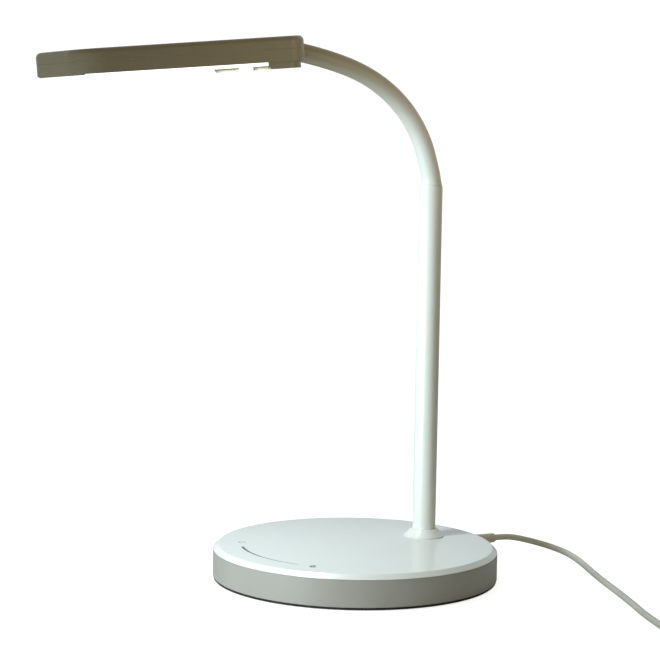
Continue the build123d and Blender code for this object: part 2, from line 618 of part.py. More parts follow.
def tube_along(pts, d):
    radii = runs_and_radii(pts)
    path = FilletPolyline(*pts, radius=radii)
    p0, p1 = Vector(*pts[0]), Vector(*pts[1])
    prof = Plane(origin=p0, z_dir=(p1 - p0).normalized()) * Circle(d / 2)
    t = sweep(prof, path=path)
    s = t.solids()[0]
    print("  tube length %.1f volume ratio %.4f" % (path.length, s.volume / (math.pi * d * d / 4 * path.length)))
    return s


save("power_cord", tube_along(cord_pts, CORD_D))

coil = revolve_pts([
    (COIL_R - COIL_W / 2 + 1.2, COIL_Z0), (COIL_R + COIL_W / 2 - 1.2, COIL_Z0), (COIL_R + COIL_W / 2, COIL_Z0 + 1.2),
    (COIL_R + COIL_W / 2, COIL_Z0 + COIL_H - 1.2), (COIL_R + COIL_W / 2 - 1.2, COIL_Z0 + COIL_H),
    (COIL_R - COIL_W / 2 + 1.2, COIL_Z0 + COIL_H), (COIL_R - COIL_W / 2, COIL_Z0 + COIL_H - 1.2),
    (COIL_R - COIL_W / 2, COIL_Z0 + 1.2),
])
save("cord_coil", (Pos(COIL_C[0], COIL_C[1], 0) * coil).solids()[0])

# tie: a soft strap round the bundle
TIE_T = 0.8
TIE_A = 10.0
tie_o = Box(COIL_W + 2 * TIE_T, 7.0, COIL_H + 2 * TIE_T)
tie_i = Box(COIL_W + 0.06, 9.0, COIL_H + 0.06)
tie = Pos(COIL_C[0], COIL_C[1], COIL_Z0 + COIL_H / 2) * Rot(0, 0, TIE_A) * Pos(COIL_R, 0, 0) * (tie_o - tie_i)
save("cord_tie", tie.solids()[0])

# tail of the lead and the supply-end plug, lying beside the coil
tx, ty = COIL_C[0] + 24.4 * math.cos(math.radians(62)), COIL_C[1] + 24.4 * math.sin(math.radians(62))
tail_pts = [
    (tx, ty, 11.0),
    (tx - 9.8, ty + 5.0, 10.0),
    (tx - 20.0, ty + 8.6, 7.2),
    (tx - 31.0, ty + 11.4, 4.8),
    (tx - 41.0, ty + 13.2, 4.2),
]
save("cord_tail", tube_along(tail_pts, CORD_D))
t0, t1 = Vector(*tail_pts[-2]), Vector(*tail_pts[-1])
td = Vector(t1.X - t0.X, t1.Y - t0.Y, 0).normalized()
usb = Plane(origin=(t1.X, t1.Y, 4.2), x_dir=(-td.Y, td.X, 0), z_dir=(td.X, td.Y, 0))


def loft_grip():
    with BuildPart() as bp:
        with BuildSketch(Plane.XY):
            RectangleRounded(5.4, 5.0, 2.2)
        with BuildSketch(Plane.XY.offset(12.0)):
            RectangleRounded(6.4, 5.8, 2.4)
        loft()
        with BuildSketch(Plane.XY.offset(12.0)):
            RectangleRounded(15.4, 7.8, 2.2)
        extrude(amount=20.0)
    return bp.part


ug = loft_grip()
save("usb_plug_grip", usb * ug.solids().sort_by(SortBy.VOLUME)[-1])
shell = extrude(Pos(0, 0, 32.02) * RectangleRounded(12.0, 4.5, 0.5), 13.6)
shell = shell - extrude(Pos(0, 0, 32.0) * RectangleRounded(11.4, 3.9, 0.3), 20)
save("usb_plug_shell", usb * shell.solids()[0])
tongue = box(-5.6, 5.6, -1.85, 0.05, 32.02, 44.6)
save("usb_plug_tongue", usb * tongue.solids()[0])
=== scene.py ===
import math

import bmesh
import bpy
import numpy as np
from mathutils import Matrix, Vector


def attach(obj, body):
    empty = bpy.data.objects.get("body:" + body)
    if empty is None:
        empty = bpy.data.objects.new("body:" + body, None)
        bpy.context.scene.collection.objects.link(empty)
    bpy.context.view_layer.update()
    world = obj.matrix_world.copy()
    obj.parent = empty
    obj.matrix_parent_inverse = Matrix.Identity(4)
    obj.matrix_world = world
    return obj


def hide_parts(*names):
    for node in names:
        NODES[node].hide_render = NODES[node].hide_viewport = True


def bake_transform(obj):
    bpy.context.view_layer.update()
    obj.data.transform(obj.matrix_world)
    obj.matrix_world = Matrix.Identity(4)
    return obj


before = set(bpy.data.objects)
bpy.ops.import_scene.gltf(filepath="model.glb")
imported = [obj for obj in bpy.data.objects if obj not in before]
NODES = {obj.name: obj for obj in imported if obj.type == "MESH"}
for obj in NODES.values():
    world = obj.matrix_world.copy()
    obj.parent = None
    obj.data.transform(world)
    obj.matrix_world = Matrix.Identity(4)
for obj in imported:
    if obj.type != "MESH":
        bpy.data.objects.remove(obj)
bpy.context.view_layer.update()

SCENE = bpy.context.scene
MM = 0.001

# ---------------------------------------------------------------------------
# Dimensions shared with the CAD model, millimetres
# ---------------------------------------------------------------------------
BASE_R, BASE_H, BAND_TOP = 92.0, 21.62, 18.37
TOP_R = 88.8
POST_Y, POST_R, POST_BOTTOM, POST_TOP = 54.8, 7.6, 11.45, 253.35
NECK_PTS = [
    (0.0, 260.35), (5.2, 276.7), (13.5, 291.2), (24.5, 304.1), (37.7, 314.6), (52.2, 322.35), (68.3, 328.0), (84.7, 331.95),
    (101.3, 335.06),
]
HEAD_S, HEAD_Z, HEAD_DROOP = 114.4, 336.38, 5.69
HEAD_L, HEAD_W, HEAD_T0, HEAD_T1, HEAD_WALL, HEAD_R, EDGE_R = 155.0, 72.0, 15.1, 13.96, 1.8, 17.0, 3.1
LENS_DROP0, LENS_DROP1, BLOCK_DROP, LENS_IN, LENS_REAR, LENS_END, LENS_TIP = 1.95, 0.55, 4.1, 2.6, 31.6, 5.6, 0.7
CORD_D = 4.2
JACK_X, JACK_Z = -8.0, 12.35
JACK_Y = math.sqrt(BASE_R ** 2 - JACK_X ** 2)
COIL_C, COIL_R = (246.0, 87.0), 20.0

# ---------------------------------------------------------------------------
# Camera and colour
# ---------------------------------------------------------------------------
cam_data = bpy.data.cameras.new("photo_camera")
cam = bpy.data.objects.new("photo_camera", cam_data)
SCENE.collection.objects.link(cam)
fw = Vector((-0.83475, 0.54306, -0.09098)).normalized()
right = Vector((0.54401, 0.83892, 0.01616))
right = (right - fw * right.dot(fw)).normalized()
up = right.cross(fw)
rot = Matrix((right, up, -fw)).transposed()
cam.matrix_world = Matrix.Translation(Vector((0.98068, -0.66009, 0.26841))) @ rot.to_4x4()
cam_data.sensor_fit = "HORIZONTAL"
cam_data.sensor_width = 36.0
cam_data.lens = 1850.0 / 660.0 * 36.0
cam_data.clip_start, cam_data.clip_end = 0.05, 60.0
cam_data.dof.use_dof = False
SCENE.camera = cam
SCENE.view_settings.view_transform = "Standard"
SCENE.view_settings.look = "None"
SCENE.view_settings.exposure = 0.0
SCENE.view_settings.gamma = 1.0


# ---------------------------------------------------------------------------
# Mesh helpers
# ---------------------------------------------------------------------------
def new_object(name, verts, faces, scale=MM):
    me = bpy.data.meshes.new(name)
    me.from_pydata([tuple(c * scale for c in v) for v in verts], [], faces)
    me.validate()
    me.update()
    ob = bpy.data.objects.new(name, me)
    SCENE.collection.objects.link(ob)
    return ob


def clean(ob, dist=1e-6):
    bm = bmesh.new()
    bm.from_mesh(ob.data)
    bmesh.ops.remove_doubles(bm, verts=bm.verts, dist=dist)
    bmesh.ops.dissolve_degenerate(bm, edges=bm.edges, dist=1e-7)
    bmesh.ops.recalc_face_normals(bm, faces=bm.faces)
    bm.to_mesh(ob.data)
    bm.free()
    return ob


def smooth(ob, angle=32.0, weighted=True):
    for p in ob.data.polygons:
        p.use_smooth = True
    ob.data.set_sharp_from_angle(angle=math.radians(angle))
    if weighted:
        m = ob.modifiers.new("weighted", "WEIGHTED_NORMAL")
        m.keep_sharp = True
        m.weight = 80
    return ob


def rounded(pts, closed=False, step=12.0):
    """Outline of (a, b, radius) corners, each corner turned into an arc of that radius."""
    out = []
    n = len(pts)
    for i in range(n):
        a, b, r = pts[i]
        if r <= 0 or (not closed and i in (0, n - 1)):
            out.append((a, b))
            continue
        p = Vector((a, b))
        q0 = Vector(pts[(i - 1) % n][:2])
        q1 = Vector(pts[(i + 1) % n][:2])
        d0, d1 = (q0 - p).normalized(), (q1 - p).normalized()
        ang = math.acos(max(-1.0, min(1.0, d0.dot(d1))))
        if ang > math.pi - 1e-3:
            out.append((a, b))
            continue
        k0 = 0.49 if pts[(i - 1) % n][2] > 0 else 0.98
        k1 = 0.49 if pts[(i + 1) % n][2] > 0 else 0.98
        t = min(r / math.tan(ang / 2), k0 * (q0 - p).length, k1 * (q1 - p).length)
        rr = t * math.tan(ang / 2)
        c = p + (d0 + d1).normalized() * (rr / math.sin(ang / 2))
        s, e = p + d0 * t - c, p + d1 * t - c
        sweep = math.pi - ang
        k = max(2, int(math.ceil(math.degrees(sweep) / step)))
        a0 = math.atan2(s.y, s.x)
        sign = 1.0 if s.x * e.y - s.y * e.x > 0 else -1.0
        for j in range(k + 1):
            w = a0 + sign * sweep * j / k
            out.append((c.x + rr * math.cos(w), c.y + rr * math.sin(w)))
    return out


def lathe(name, profile, closed, segs=128, place=None):
    """Turns a profile of (radius, height) about the axis. closed joins its last point to its first."""
    verts, faces, rings = [], [], []
    for r, z in profile:
        if r < 1e-6:
            rings.append([len(verts)])
            verts.append((0.0, 0.0, z))
        else:
            rings.append(list(range(len(verts), len(verts) + segs)))
            for k in range(segs):
                w = 2 * math.pi * k / segs
                verts.append((r * math.cos(w), r * math.sin(w), z))
    pairs = list(zip(rings, rings[1:])) + ([(rings[-1], rings[0])] if closed else [])
    for a, b in pairs:
        for k in range(segs):
            j = (k + 1) % segs
            if len(a) == 1 and len(b) == 1:
                continue
            if len(a) == 1:
                faces.append((a[0], b[k], b[j]))
            elif len(b) == 1:
                faces.append((a[k], b[0], a[j]))
            else:
                faces.append((a[k], b[k], b[j], a[j]))
    if place is not None:
        verts = [tuple(place @ Vector(v)) for v in verts]
    return clean(new_object(name, verts, faces))


def prism(outline, axis_from, axis_to, frame_m=None):
    """Solid from a closed 2-D outline swept between two planes. Returns (verts, faces)."""
    n = len(outline)
    verts = [(a, b, axis_from) for a, b in outline] + [(a, b, axis_to) for a, b in outline]
    if frame_m is not None:
        verts = [tuple(frame_m @ Vector(v)) for v in verts]
    faces = [tuple(range(n))[::-1], tuple(range(n, 2 * n))]
    for k in range(n):
        j = (k + 1) % n
        faces.append((k, j, n + j, n + k))
    return verts, faces


def round_rect(w, h, r, cx=0.0, cy=0.0, step=9.0):
    return rounded([
        (cx - w / 2, cy - h / 2, r), (cx + w / 2, cy - h / 2, r),
        (cx + w / 2, cy + h / 2, r), (cx - w / 2, cy + h / 2, r),
    ], closed=True, step=step)


def applied(ob):
    """The object's mesh with its modifiers worked in."""
    bpy.context.view_layer.update()
    dg = bpy.context.evaluated_depsgraph_get()
    me = bpy.data.meshes.new_from_object(ob.evaluated_get(dg))
    ob.modifiers.clear()
    old = ob.data
    ob.data = me
    bpy.data.meshes.remove(old)
    me.name = ob.name
    return ob


def boolean(ob, cutter, kind="DIFFERENCE"):
    m = ob.modifiers.new("cut", "BOOLEAN")
    m.operation = kind
    m.solver = "EXACT"
    m.object = cutter
    applied(ob)
    me = cutter.data
    bpy.data.objects.remove(cutter)
    bpy.data.meshes.remove(me)
    return ob


def bevel(ob, width, segments=3, angle=35.0):
    m = ob.modifiers.new("bevel", "BEVEL")
    m.width = width * MM
    m.segments = segments
    m.limit_method = "ANGLE"
    m.angle_limit = math.radians(angle)
    m.use_clamp_overlap = True
    m.miter_outer = "MITER_ARC"
    m.harden_normals = False
    return applied(ob)


# ---------------------------------------------------------------------------
# Material helpers. All colour and relief comes from nodes in the piece's own
# coordinates.
# ---------------------------------------------------------------------------
def srgb(r, g, b):
    def f(c):
        c /= 255.0
        return c / 12.92 if c <= 0.04045 else ((c + 0.055) / 1.055) ** 2.4
    return (f(r), f(g), f(b), 1.0)


def tint(c, k):
    return (min(1.0, c[0] * k), min(1.0, c[1] * k), min(1.0, c[2] * k), 1.0)


class Mat:
    def __init__(self, name):
        self.m = bpy.data.materials.new(name)
        self.m.use_nodes = True
        self.t = self.m.node_tree
        self.t.nodes.clear()
        self.out = self.t.nodes.new("ShaderNodeOutputMaterial")
        self.p = self.t.nodes.new("ShaderNodeBsdfPrincipled")
        self.t.links.new(self.p.outputs[0], self.out.inputs[0])
        self.tc = self.t.nodes.new("ShaderNodeTexCoord")

    def node(self, kind, **kw):
        n = self.t.nodes.new(kind)
        for k, v in kw.items():
            if k in n.inputs:
                n.inputs[k].default_value = v
            else:
                setattr(n, k, v)
        return n

    def link(self, a, b):
        self.t.links.new(a, b)

    def noise(self, scale, detail=3.0, rough=0.55, stretch=None):
        n = self.node("ShaderNodeTexNoise")
        n.inputs["Scale"].default_value = scale
        n.inputs["Detail"].default_value = detail
        n.inputs["Roughness"].default_value = rough
        src = self.tc.outputs["Object"]
        if stretch:
            mp = self.node("ShaderNodeMapping")
            mp.inputs["Scale"].default_value = stretch
            self.link(src, mp.inputs["Vector"])
            src = mp.outputs[0]
        self.link(src, n.inputs["Vector"])
        return n.outputs["Fac"]

    def ramp(self, src, stops):
        r = self.node("ShaderNodeValToRGB")
        cr = r.color_ramp
        while len(cr.elements) > 1:
            cr.elements.remove(cr.elements[-1])
        cr.elements[0].position = stops[0][0]
        cr.elements[0].color = stops[0][1]
        for pos, col in stops[1:]:
            e = cr.elements.new(pos)
            e.color = col
        self.link(src, r.inputs[0])
        return r.outputs[0]

    def remap(self, src, lo, hi, a=0.3, b=0.7):
        n = self.node("ShaderNodeMapRange")
        n.inputs["From Min"].default_value = a
        n.inputs["From Max"].default_value = b
        n.inputs["To Min"].default_value = lo
        n.inputs["To Max"].default_value = hi
        self.link(src, n.inputs["Value"])
        return n.outputs[0]

    def bump(self, layers):
        """layers of (height source, strength, distance in metres), from coarse to fine."""
        prev = None
        for src, strength, dist in layers:
            b = self.node("ShaderNodeBump")
            b.inputs["Strength"].default_value = strength
            b.inputs["Distance"].default_value = dist
            self.link(src, b.inputs["Height"])
            if prev is not None:
                self.link(prev, b.inputs["Normal"])
            prev = b.outputs[0]
        self.link(prev, self.p.inputs["Normal"])


def moulded(name, col, rough=(0.34, 0.42), grain=2600.0, depth=0.00003, strength=0.25, vary=0.035,
            cloud=18.0, coat=0.0, spec=0.5, sheen=0.0):
    """Moulded or painted plastic: faint tone clouds, fine surface grain and uneven gloss."""
    m = Mat(name)
    clouds = m.noise(cloud, 4.0, 0.6)
    m.link(m.ramp(clouds, [(0.30, tint(col, 1 - vary)), (0.52, col), (0.75, tint(col, 1 + vary))]), m.p.inputs["Base Color"])
    fine = m.noise(grain, 2.0, 0.5)
    soft = m.noise(cloud * 9.0, 3.0, 0.6)
    m.link(m.remap(soft, rough[0], rough[1]), m.p.inputs["Roughness"])
    m.bump([(m.noise(60.0, 2.0), 0.05, 0.0002), (fine, strength, depth)])
    m.p.inputs["Specular IOR Level"].default_value = spec
    if coat:
        m.p.inputs["Coat Weight"].default_value = coat
        m.p.inputs["Coat Roughness"].default_value = 0.12
    if sheen:
        m.p.inputs["Sheen Weight"].default_value = sheen
        m.p.inputs["Sheen Roughness"].default_value = 0.5
    return m.m


def metal(name, col, rough=(0.22, 0.34), grain=900.0, stretch=(1.0, 1.0, 14.0)):
    m = Mat(name)
    m.p.inputs["Metallic"].default_value = 1.0
    streak = m.noise(grain, 3.0, 0.6, stretch)
    m.link(m.ramp(streak, [(0.3, tint(col, 0.88)), (0.7, tint(col, 1.06))]), m.p.inputs["Base Color"])
    m.link(m.remap(m.noise(300.0, 3.0), rough[0], rough[1]), m.p.inputs["Roughness"])
    m.bump([(streak, 0.12, 0.00002)])
    return m.m


def board(name, col, trace):
    """Solder mask with the faint relief of copper tracks under it."""
    m = Mat(name)
    v = m.node("ShaderNodeTexVoronoi")
    v.feature = "DISTANCE_TO_EDGE"
    v.inputs["Scale"].default_value = 420.0
    m.link(m.tc.outputs["Object"], v.inputs["Vector"])
    m.link(m.ramp(v.outputs["Distance"], [(0.0, trace), (0.08, trace), (0.12, col), (1.0, tint(col, 1.05))]), m.p.inputs["Base Color"])
    m.link(m.remap(m.noise(500.0), 0.25, 0.4), m.p.inputs["Roughness"])
    m.bump([(v.outputs["Distance"], 0.2, 0.00002)])
    return m.m


WHITE = srgb(234, 236, 233)
SILVER = srgb(175, 174, 169)
# HEAD_SHADE: painted shade, the warm grey that the white head shell shows in shadow, used as the head's own colour
HEAD_SHADE = srgb(157, 149, 127)

mats = {
    "white_gloss": moulded("white_gloss", WHITE, rough=(0.30, 0.37), grain=3200.0, depth=0.00001, strength=0.10, vary=0.008, coat=0.25),
    "post_white": moulded("post_white", WHITE, rough=(0.30, 0.38), grain=1500.0, depth=0.00002, strength=0.18, vary=0.010),
    "silver_satin": moulded("silver_satin", SILVER, rough=(0.36, 0.44), grain=3600.0, depth=0.00003, strength=0.30, vary=0.03),
    "rubber_black": moulded("rubber_black", srgb(24, 24, 25), rough=(0.6, 0.75), grain=1400.0, strength=0.5, vary=0.12),
    "screw_steel": metal("screw_steel", srgb(178, 178, 180)),
    "ballast_iron": metal("ballast_iron", srgb(96, 94, 92), rough=(0.5, 0.7)),
    "board_green": board("board_green", srgb(24, 84, 48), srgb(40, 118, 66)),
    "board_white": board("board_white", srgb(224, 226, 222), srgb(204, 206, 200)),
    "chip_black": moulded("chip_black", srgb(30, 30, 32), rough=(0.45, 0.6), grain=2200.0, strength=0.4, vary=0.1),
    "inlay_grey": moulded("inlay_grey", srgb(70, 74, 76), rough=(0.35, 0.5), vary=0.05),
    "inlay_dark": moulded("inlay_dark", srgb(30, 31, 33), rough=(0.5, 0.6), vary=0.05, spec=0.3),
    "contact_brass": metal("contact_brass", srgb(200, 168, 96)),
    "socket_black": moulded("socket_black", srgb(28, 28, 30), rough=(0.4, 0.5), vary=0.08),
    "turned_steel": metal("turned_steel", srgb(190, 190, 192)),
    "diffuser_milk": None,
    "pad_clear": None,
    "reflector_white": moulded("reflector_white", srgb(240, 240, 238), rough=(0.5, 0.6)),
    "led_yellow": moulded("led_yellow", srgb(236, 208, 90), rough=(0.3, 0.4), grain=3000.0),
    "zinc_cast": metal("zinc_cast", srgb(150, 150, 152), rough=(0.4, 0.55)),
    "plated_steel": metal("plated_steel", srgb(196, 197, 200), rough=(0.16, 0.26)),
    "lead_white": moulded("lead_white", srgb(226, 226, 222), rough=(0.4, 0.5)),
    "tie_grey": moulded("tie_grey", srgb(72, 74, 76), rough=(0.6, 0.75), grain=900.0, strength=0.6, vary=0.08),
}


# head shells: painted shade, coloured the warm grey the white shells show in shadow, satin, with the fine flow lines of
# the moulding along the head
def head_shade_paint():
    m = Mat("head_taupe")
    clouds = m.noise(14.0, 4.0, 0.6)
    streak = m.noise(260.0, 3.0, 0.6, (1.0, 0.05, 1.0))
    mix = m.node("ShaderNodeMath", operation="MULTIPLY_ADD")
    m.link(streak, mix.inputs[0])
    mix.inputs[1].default_value = 0.35
    m.link(clouds, mix.inputs[2])
    m.link(m.ramp(mix.outputs[0], [(0.45, tint(HEAD_SHADE, 0.93)), (0.68, HEAD_SHADE), (0.95, tint(HEAD_SHADE, 1.06))]), m.p.inputs["Base Color"])
    m.link(m.remap(m.noise(160.0, 3.0), 0.36, 0.46), m.p.inputs["Roughness"])
    m.bump([(streak, 0.05, 0.0002), (m.noise(2600.0, 2.0), 0.28, 0.00003)])
    return m.m


mats["head_taupe"] = head_shade_paint()


# diffuser: milky panel, lit from inside
def milk():
    m = Mat("diffuser_milk")
    m.p.inputs["Base Color"].default_value = (0.86, 0.90, 0.90, 1.0)
    soft = m.noise(240.0, 2.0)
    m.link(m.ramp(soft, [(0.3, (0.84, 0.93, 0.96, 1.0)), (0.7, (0.90, 0.97, 1.0, 1.0))]), m.p.inputs["Base Color"])
    m.link(m.ramp(soft, [(0.3, (0.82, 0.94, 1.0, 1.0)), (0.7, (0.88, 0.98, 1.0, 1.0))]), m.p.inputs["Emission Color"])
    m.p.inputs["Emission Strength"].default_value = 1.5
    m.link(m.remap(m.noise(500.0), 0.35, 0.5), m.p.inputs["Roughness"])
    m.bump([(m.noise(1800.0), 0.2, 0.00003)])
    return m.m


mats["diffuser_milk"] = milk()


def pad_material():
    m = Mat("pad_clear")
    m.link(m.ramp(m.noise(300.0), [(0.3, (0.62, 0.70, 0.74, 1.0)), (0.7, (0.70, 0.78, 0.82, 1.0))]), m.p.inputs["Base Color"])
    m.link(m.remap(m.noise(200.0), 0.12, 0.2), m.p.inputs["Roughness"])
    # painted light: the pad glows with the panel's cool light, standing in for the diffuser's light falling on it
    m.p.inputs["Emission Color"].default_value = (0.80, 0.92, 1.0, 1.0)
    m.p.inputs["Emission Strength"].default_value = 0.55
    m.bump([(m.noise(900.0), 0.1, 0.00002)])
    return m.m


mats["pad_clear"] = pad_material()


# neck sleeve: soft-touch white sleeve with painted shade, white at the post and shaded to the head's warm grey towards
# the head
def sleeve_shade_material():
    m = Mat("neck_sleeve")
    sep = m.node("ShaderNodeSeparateXYZ")
    m.link(m.tc.outputs["Object"], sep.inputs[0])
    # position along the neck, from the forward distance; it sets how far the painted shade has darkened the white
    y = m.node("ShaderNodeMath", operation="MULTIPLY")
    m.link(sep.outputs["Y"], y.inputs[0])
    y.inputs[1].default_value = -1.0
    along = m.node("ShaderNodeMapRange")
    along.inputs["From Min"].default_value = -0.0545
    along.inputs["From Max"].default_value = 0.0596
    m.link(y.outputs[0], along.inputs["Value"])
    cloud = m.noise(30.0, 3.0)
    add = m.node("ShaderNodeMath", operation="MULTIPLY_ADD")
    m.link(cloud, add.inputs[0])
    add.inputs[1].default_value = 0.06
    m.link(along.outputs[0], add.inputs[2])
    m.link(m.ramp(add.outputs[0], [
        (0.0, WHITE), (0.16, srgb(228, 229, 224)), (0.42, srgb(198, 194, 182)), (0.75, srgb(175, 168, 149)), (1.0, HEAD_SHADE),
    ]), m.p.inputs["Base Color"])
    m.link(m.remap(m.noise(220.0, 3.0), 0.40, 0.52), m.p.inputs["Roughness"])
    m.bump([(m.noise(90.0, 2.0), 0.06, 0.0002), (m.noise(2200.0, 2.0), 0.35, 0.00004)])
    return m.m


mats["neck_sleeve"] = sleeve_shade_material()

mats["plug_grey"] = moulded("plug_grey", srgb(235, 230, 212), rough=(0.45, 0.55), grain=1500.0, strength=0.35, vary=0.05)


# cord jacket: translucent off-white PVC with the twist of the cores showing through, and painted shade that darkens it
# further from the plug
def jacket():
    m = Mat("cord_jacket")
    cloud = m.noise(45.0, 4.0, 0.65)
    col = srgb(228, 226, 216)
    tone = m.ramp(cloud, [(0.28, tint(col, 0.86)), (0.5, col), (0.72, tint(col, 1.08))])
    sep = m.node("ShaderNodeSeparateXYZ")
    m.link(m.tc.outputs["Object"], sep.inputs[0])
    # painted shade: darker with distance along x from the plug, where less of the lamp's light reaches
    far = m.node("ShaderNodeMapRange")
    far.inputs["From Min"].default_value = 0.02
    far.inputs["From Max"].default_value = 0.12
    m.link(sep.outputs["X"], far.inputs["Value"])
    painted_shade_mix = m.node("ShaderNodeMix", data_type="RGBA", blend_type="MULTIPLY")
    painted_shade_mix.inputs["Factor"].default_value = 1.0
    m.link(tone, painted_shade_mix.inputs["A"])
    m.link(m.ramp(far.outputs[0], [(0.0, (1.0, 1.0, 1.0, 1)), (0.25, (0.97, 0.965, 0.96, 1)), (0.6, (0.70, 0.69, 0.67, 1)), (1.0, (0.66, 0.65, 0.64, 1))]), painted_shade_mix.inputs["B"])
    m.link(painted_shade_mix.outputs["Result"], m.p.inputs["Base Color"])
    m.link(m.remap(m.noise(320.0, 3.0), 0.30, 0.46), m.p.inputs["Roughness"])
    m.bump([(m.noise(700.0, 2.0, 0.5), 0.22, 0.00006), (m.noise(3500.0, 2.0), 0.2, 0.00002)])
    m.p.inputs["Coat Weight"].default_value = 0.15
    m.p.inputs["Coat Roughness"].default_value = 0.25
    return m.m


mats["cord_jacket"] = jacket()


def paint(ob, slot):
    ob.data.materials.clear()
    ob.data.materials.append(mats[slot])
    return ob


def piece(ob, body, slot, *nodes):
    paint(ob, slot)
    if body:
        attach(ob, body)
    if nodes:
        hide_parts(*nodes)
    return ob


# ---------------------------------------------------------------------------
# Supply lead
# ---------------------------------------------------------------------------
route = [
    (-0.008, JACK_Y * MM + 0.029, 0.01235),
    (-0.0081, 0.1307, 0.0122),
    (-0.0072, 0.1395, 0.0106),
    (-0.0064, 0.1490, 0.0081),
    (-0.0012, 0.1570, 0.0057),
    (0.0073, 0.1619, 0.0038),
    (0.0194, 0.1625, 0.0026),
    (0.0340, 0.1580, 0.00215),
    (0.0514, 0.1501, 0.0021),
    (0.0723, 0.1395, 0.0021),
    (0.0974, 0.1275, 0.0021),
    (0.1250, 0.1153, 0.0021),
    (0.1524, 0.1025, 0.0021),
    (0.1776, 0.0899, 0.0021),
    (0.2013, 0.0805, 0.0021),
    (0.2218, 0.0709, 0.0022),
    (0.2402, 0.0640, 0.0027),
]
# the put-away turns: bottom layer from the outside in, second layer back out, third layer to the tail
COIL_IN, COIL_OUT = -104.0, 62.0
TURNS = 6 + (COIL_OUT - COIL_IN) / 360.0
PER_TURN = 16
radii = [24.15, 20.0, 15.85, 15.85, 20.0, 24.15, 24.15]
levels = [3.0, 3.0, 3.0, 7.2, 7.2, 7.2, 11.35]
coil_pts = []
count = int(round(TURNS * PER_TURN))
for i in range(1, count):
    t = TURNS * i / count
    k = int(t)
    f = t - k
    # a turn keeps its track and shifts to the next over its last fifth
    w = max(0.0, (f - 0.80) / 0.20)
    w = w * w * (3 - 2 * w)
    k1 = min(k + 1, len(radii) - 1)
    r = radii[k] + (radii[k1] - radii[k]) * w
    z = levels[k] + (levels[k1] - levels[k]) * w
    r += 0.12 * math.sin(2.3 * t + 0.7)
    r /= 0.5 * (1 + math.cos(math.radians(360.0 / PER_TURN))) * 0.5 + 0.5
    a = math.radians(COIL_IN + 360.0 * t)
    coil_pts.append(((COIL_C[0] + r * math.cos(a)) * MM, (COIL_C[1] + r * math.sin(a)) * MM, z * MM))
tx = COIL_C[0] + 24.4 * math.cos(math.radians(COIL_OUT))
ty = COIL_C[1] + 24.4 * math.sin(math.radians(COIL_OUT))
tail = [
    (tx, ty, 11.2), (tx - 9.8, ty + 5.0, 10.0), (tx - 20.0, ty + 8.6, 7.2), (tx - 31.0, ty + 11.4, 4.8), (tx - 41.0, ty + 13.2, 4.2),
]
tail = [(a * MM, b * MM, c * MM) for a, b, c in tail]
points = route + coil_pts + tail
cu = bpy.data.curves.new("supply_lead", "CURVE")
cu.dimensions = "3D"
sp = cu.splines.new("NURBS")
sp.points.add(len(points) - 1)
for q, co in zip(sp.points, points):
    q.co = (co[0], co[1], co[2], 1.0)
sp.order_u = 3
sp.use_endpoint_u = True
sp.resolution_u = 6
cu.bevel_depth = CORD_D / 2 * MM
cu.bevel_resolution = 6
cu.use_fill_caps = True
cu.resolution_u = 6
lead = bpy.data.objects.new("supply_lead", cu)
SCENE.collection.objects.link(lead)
piece(lead, "base", "cord_jacket", "power_cord", "cord_coil", "cord_tail")

# ---------------------------------------------------------------------------
# Base: top cover, collar and post
# ---------------------------------------------------------------------------
cover = lathe("top_cover", rounded([
    (0.0, BASE_H - 2.4, 0), (87.6, BASE_H - 2.4, 0.4), (87.6, 15.1, 0.3), (89.65, 15.1, 0.3), (89.65, BAND_TOP + 0.12, 0),
    (BASE_R - 0.25, BAND_TOP + 0.12, 0.0), (BASE_R, BAND_TOP + 0.30, 0.25), (TOP_R - 0.1, BASE_H, 1.1), (60.0, BASE_H, 0.0),
    (20.0, BASE_H, 0.0), (0.0, BASE_H, 0),
]), closed=False, segs=192)
hole = lathe("hole_cut", [(0.0, 10.0), (POST_R + 0.05, 10.0), (POST_R + 0.05, 27.0), (0.0, 27.0)], False, 64,
             Matrix.Translation((0, POST_Y, 0)))
boolean(cover, hole)
smooth(cover, 30)
piece(cover, "base", "white_gloss", "base_top_cover")

collar = lathe("post_cuff", rounded([
    (POST_R + 0.05, BASE_H + 0.02, 0), (13.3, BASE_H + 0.02, 0), (13.3, BASE_H + 0.75, 0.4), (12.1, BASE_H + 1.8, 1.8),
    (10.3, BASE_H + 3.7, 2.5), (9.3, BASE_H + 4.9, 0.5), (8.8, BASE_H + 5.2, 0.3), (POST_R + 0.05, BASE_H + 5.2, 0.0),
], closed=True, step=8.0), True, 96, Matrix.Translation((0, POST_Y, 0)))
smooth(collar, 40)
piece(collar, "base", "white_gloss", "post_collar")

post = lathe("post", rounded([
    (POST_R - 1.2, POST_BOTTOM, 0), (POST_R, POST_BOTTOM, 0.3), (POST_R, 60.0, 0), (POST_R, 120.0, 0), (POST_R, 180.0, 0), (POST_R, 230.0, 0),
    (POST_R, 252.2, 2.5), (POST_R - 0.28, POST_TOP, 0.08), (POST_R - 1.2, POST_TOP, 0),
], closed=True), True, 96, Matrix.Translation((0, POST_Y, 0)))
smooth(post, 40)
piece(post, "base", "post_white", "post_tube")


# ---------------------------------------------------------------------------
# Neck sleeve: one smooth run, cut into a piece for each joint
# ---------------------------------------------------------------------------
centre = [
    (0.0, POST_TOP + 0.01), (0.35, 258.5), (2.6, 267.0), (6.1, 277.4), (13.4, 291.0), (23.1, 302.8), (34.9, 312.7), (48.2, 320.5),
    (62.5, 326.25), (77.4, 330.35), (92.4, 333.45), (105.4, 335.4), (116.9, 336.55),
]


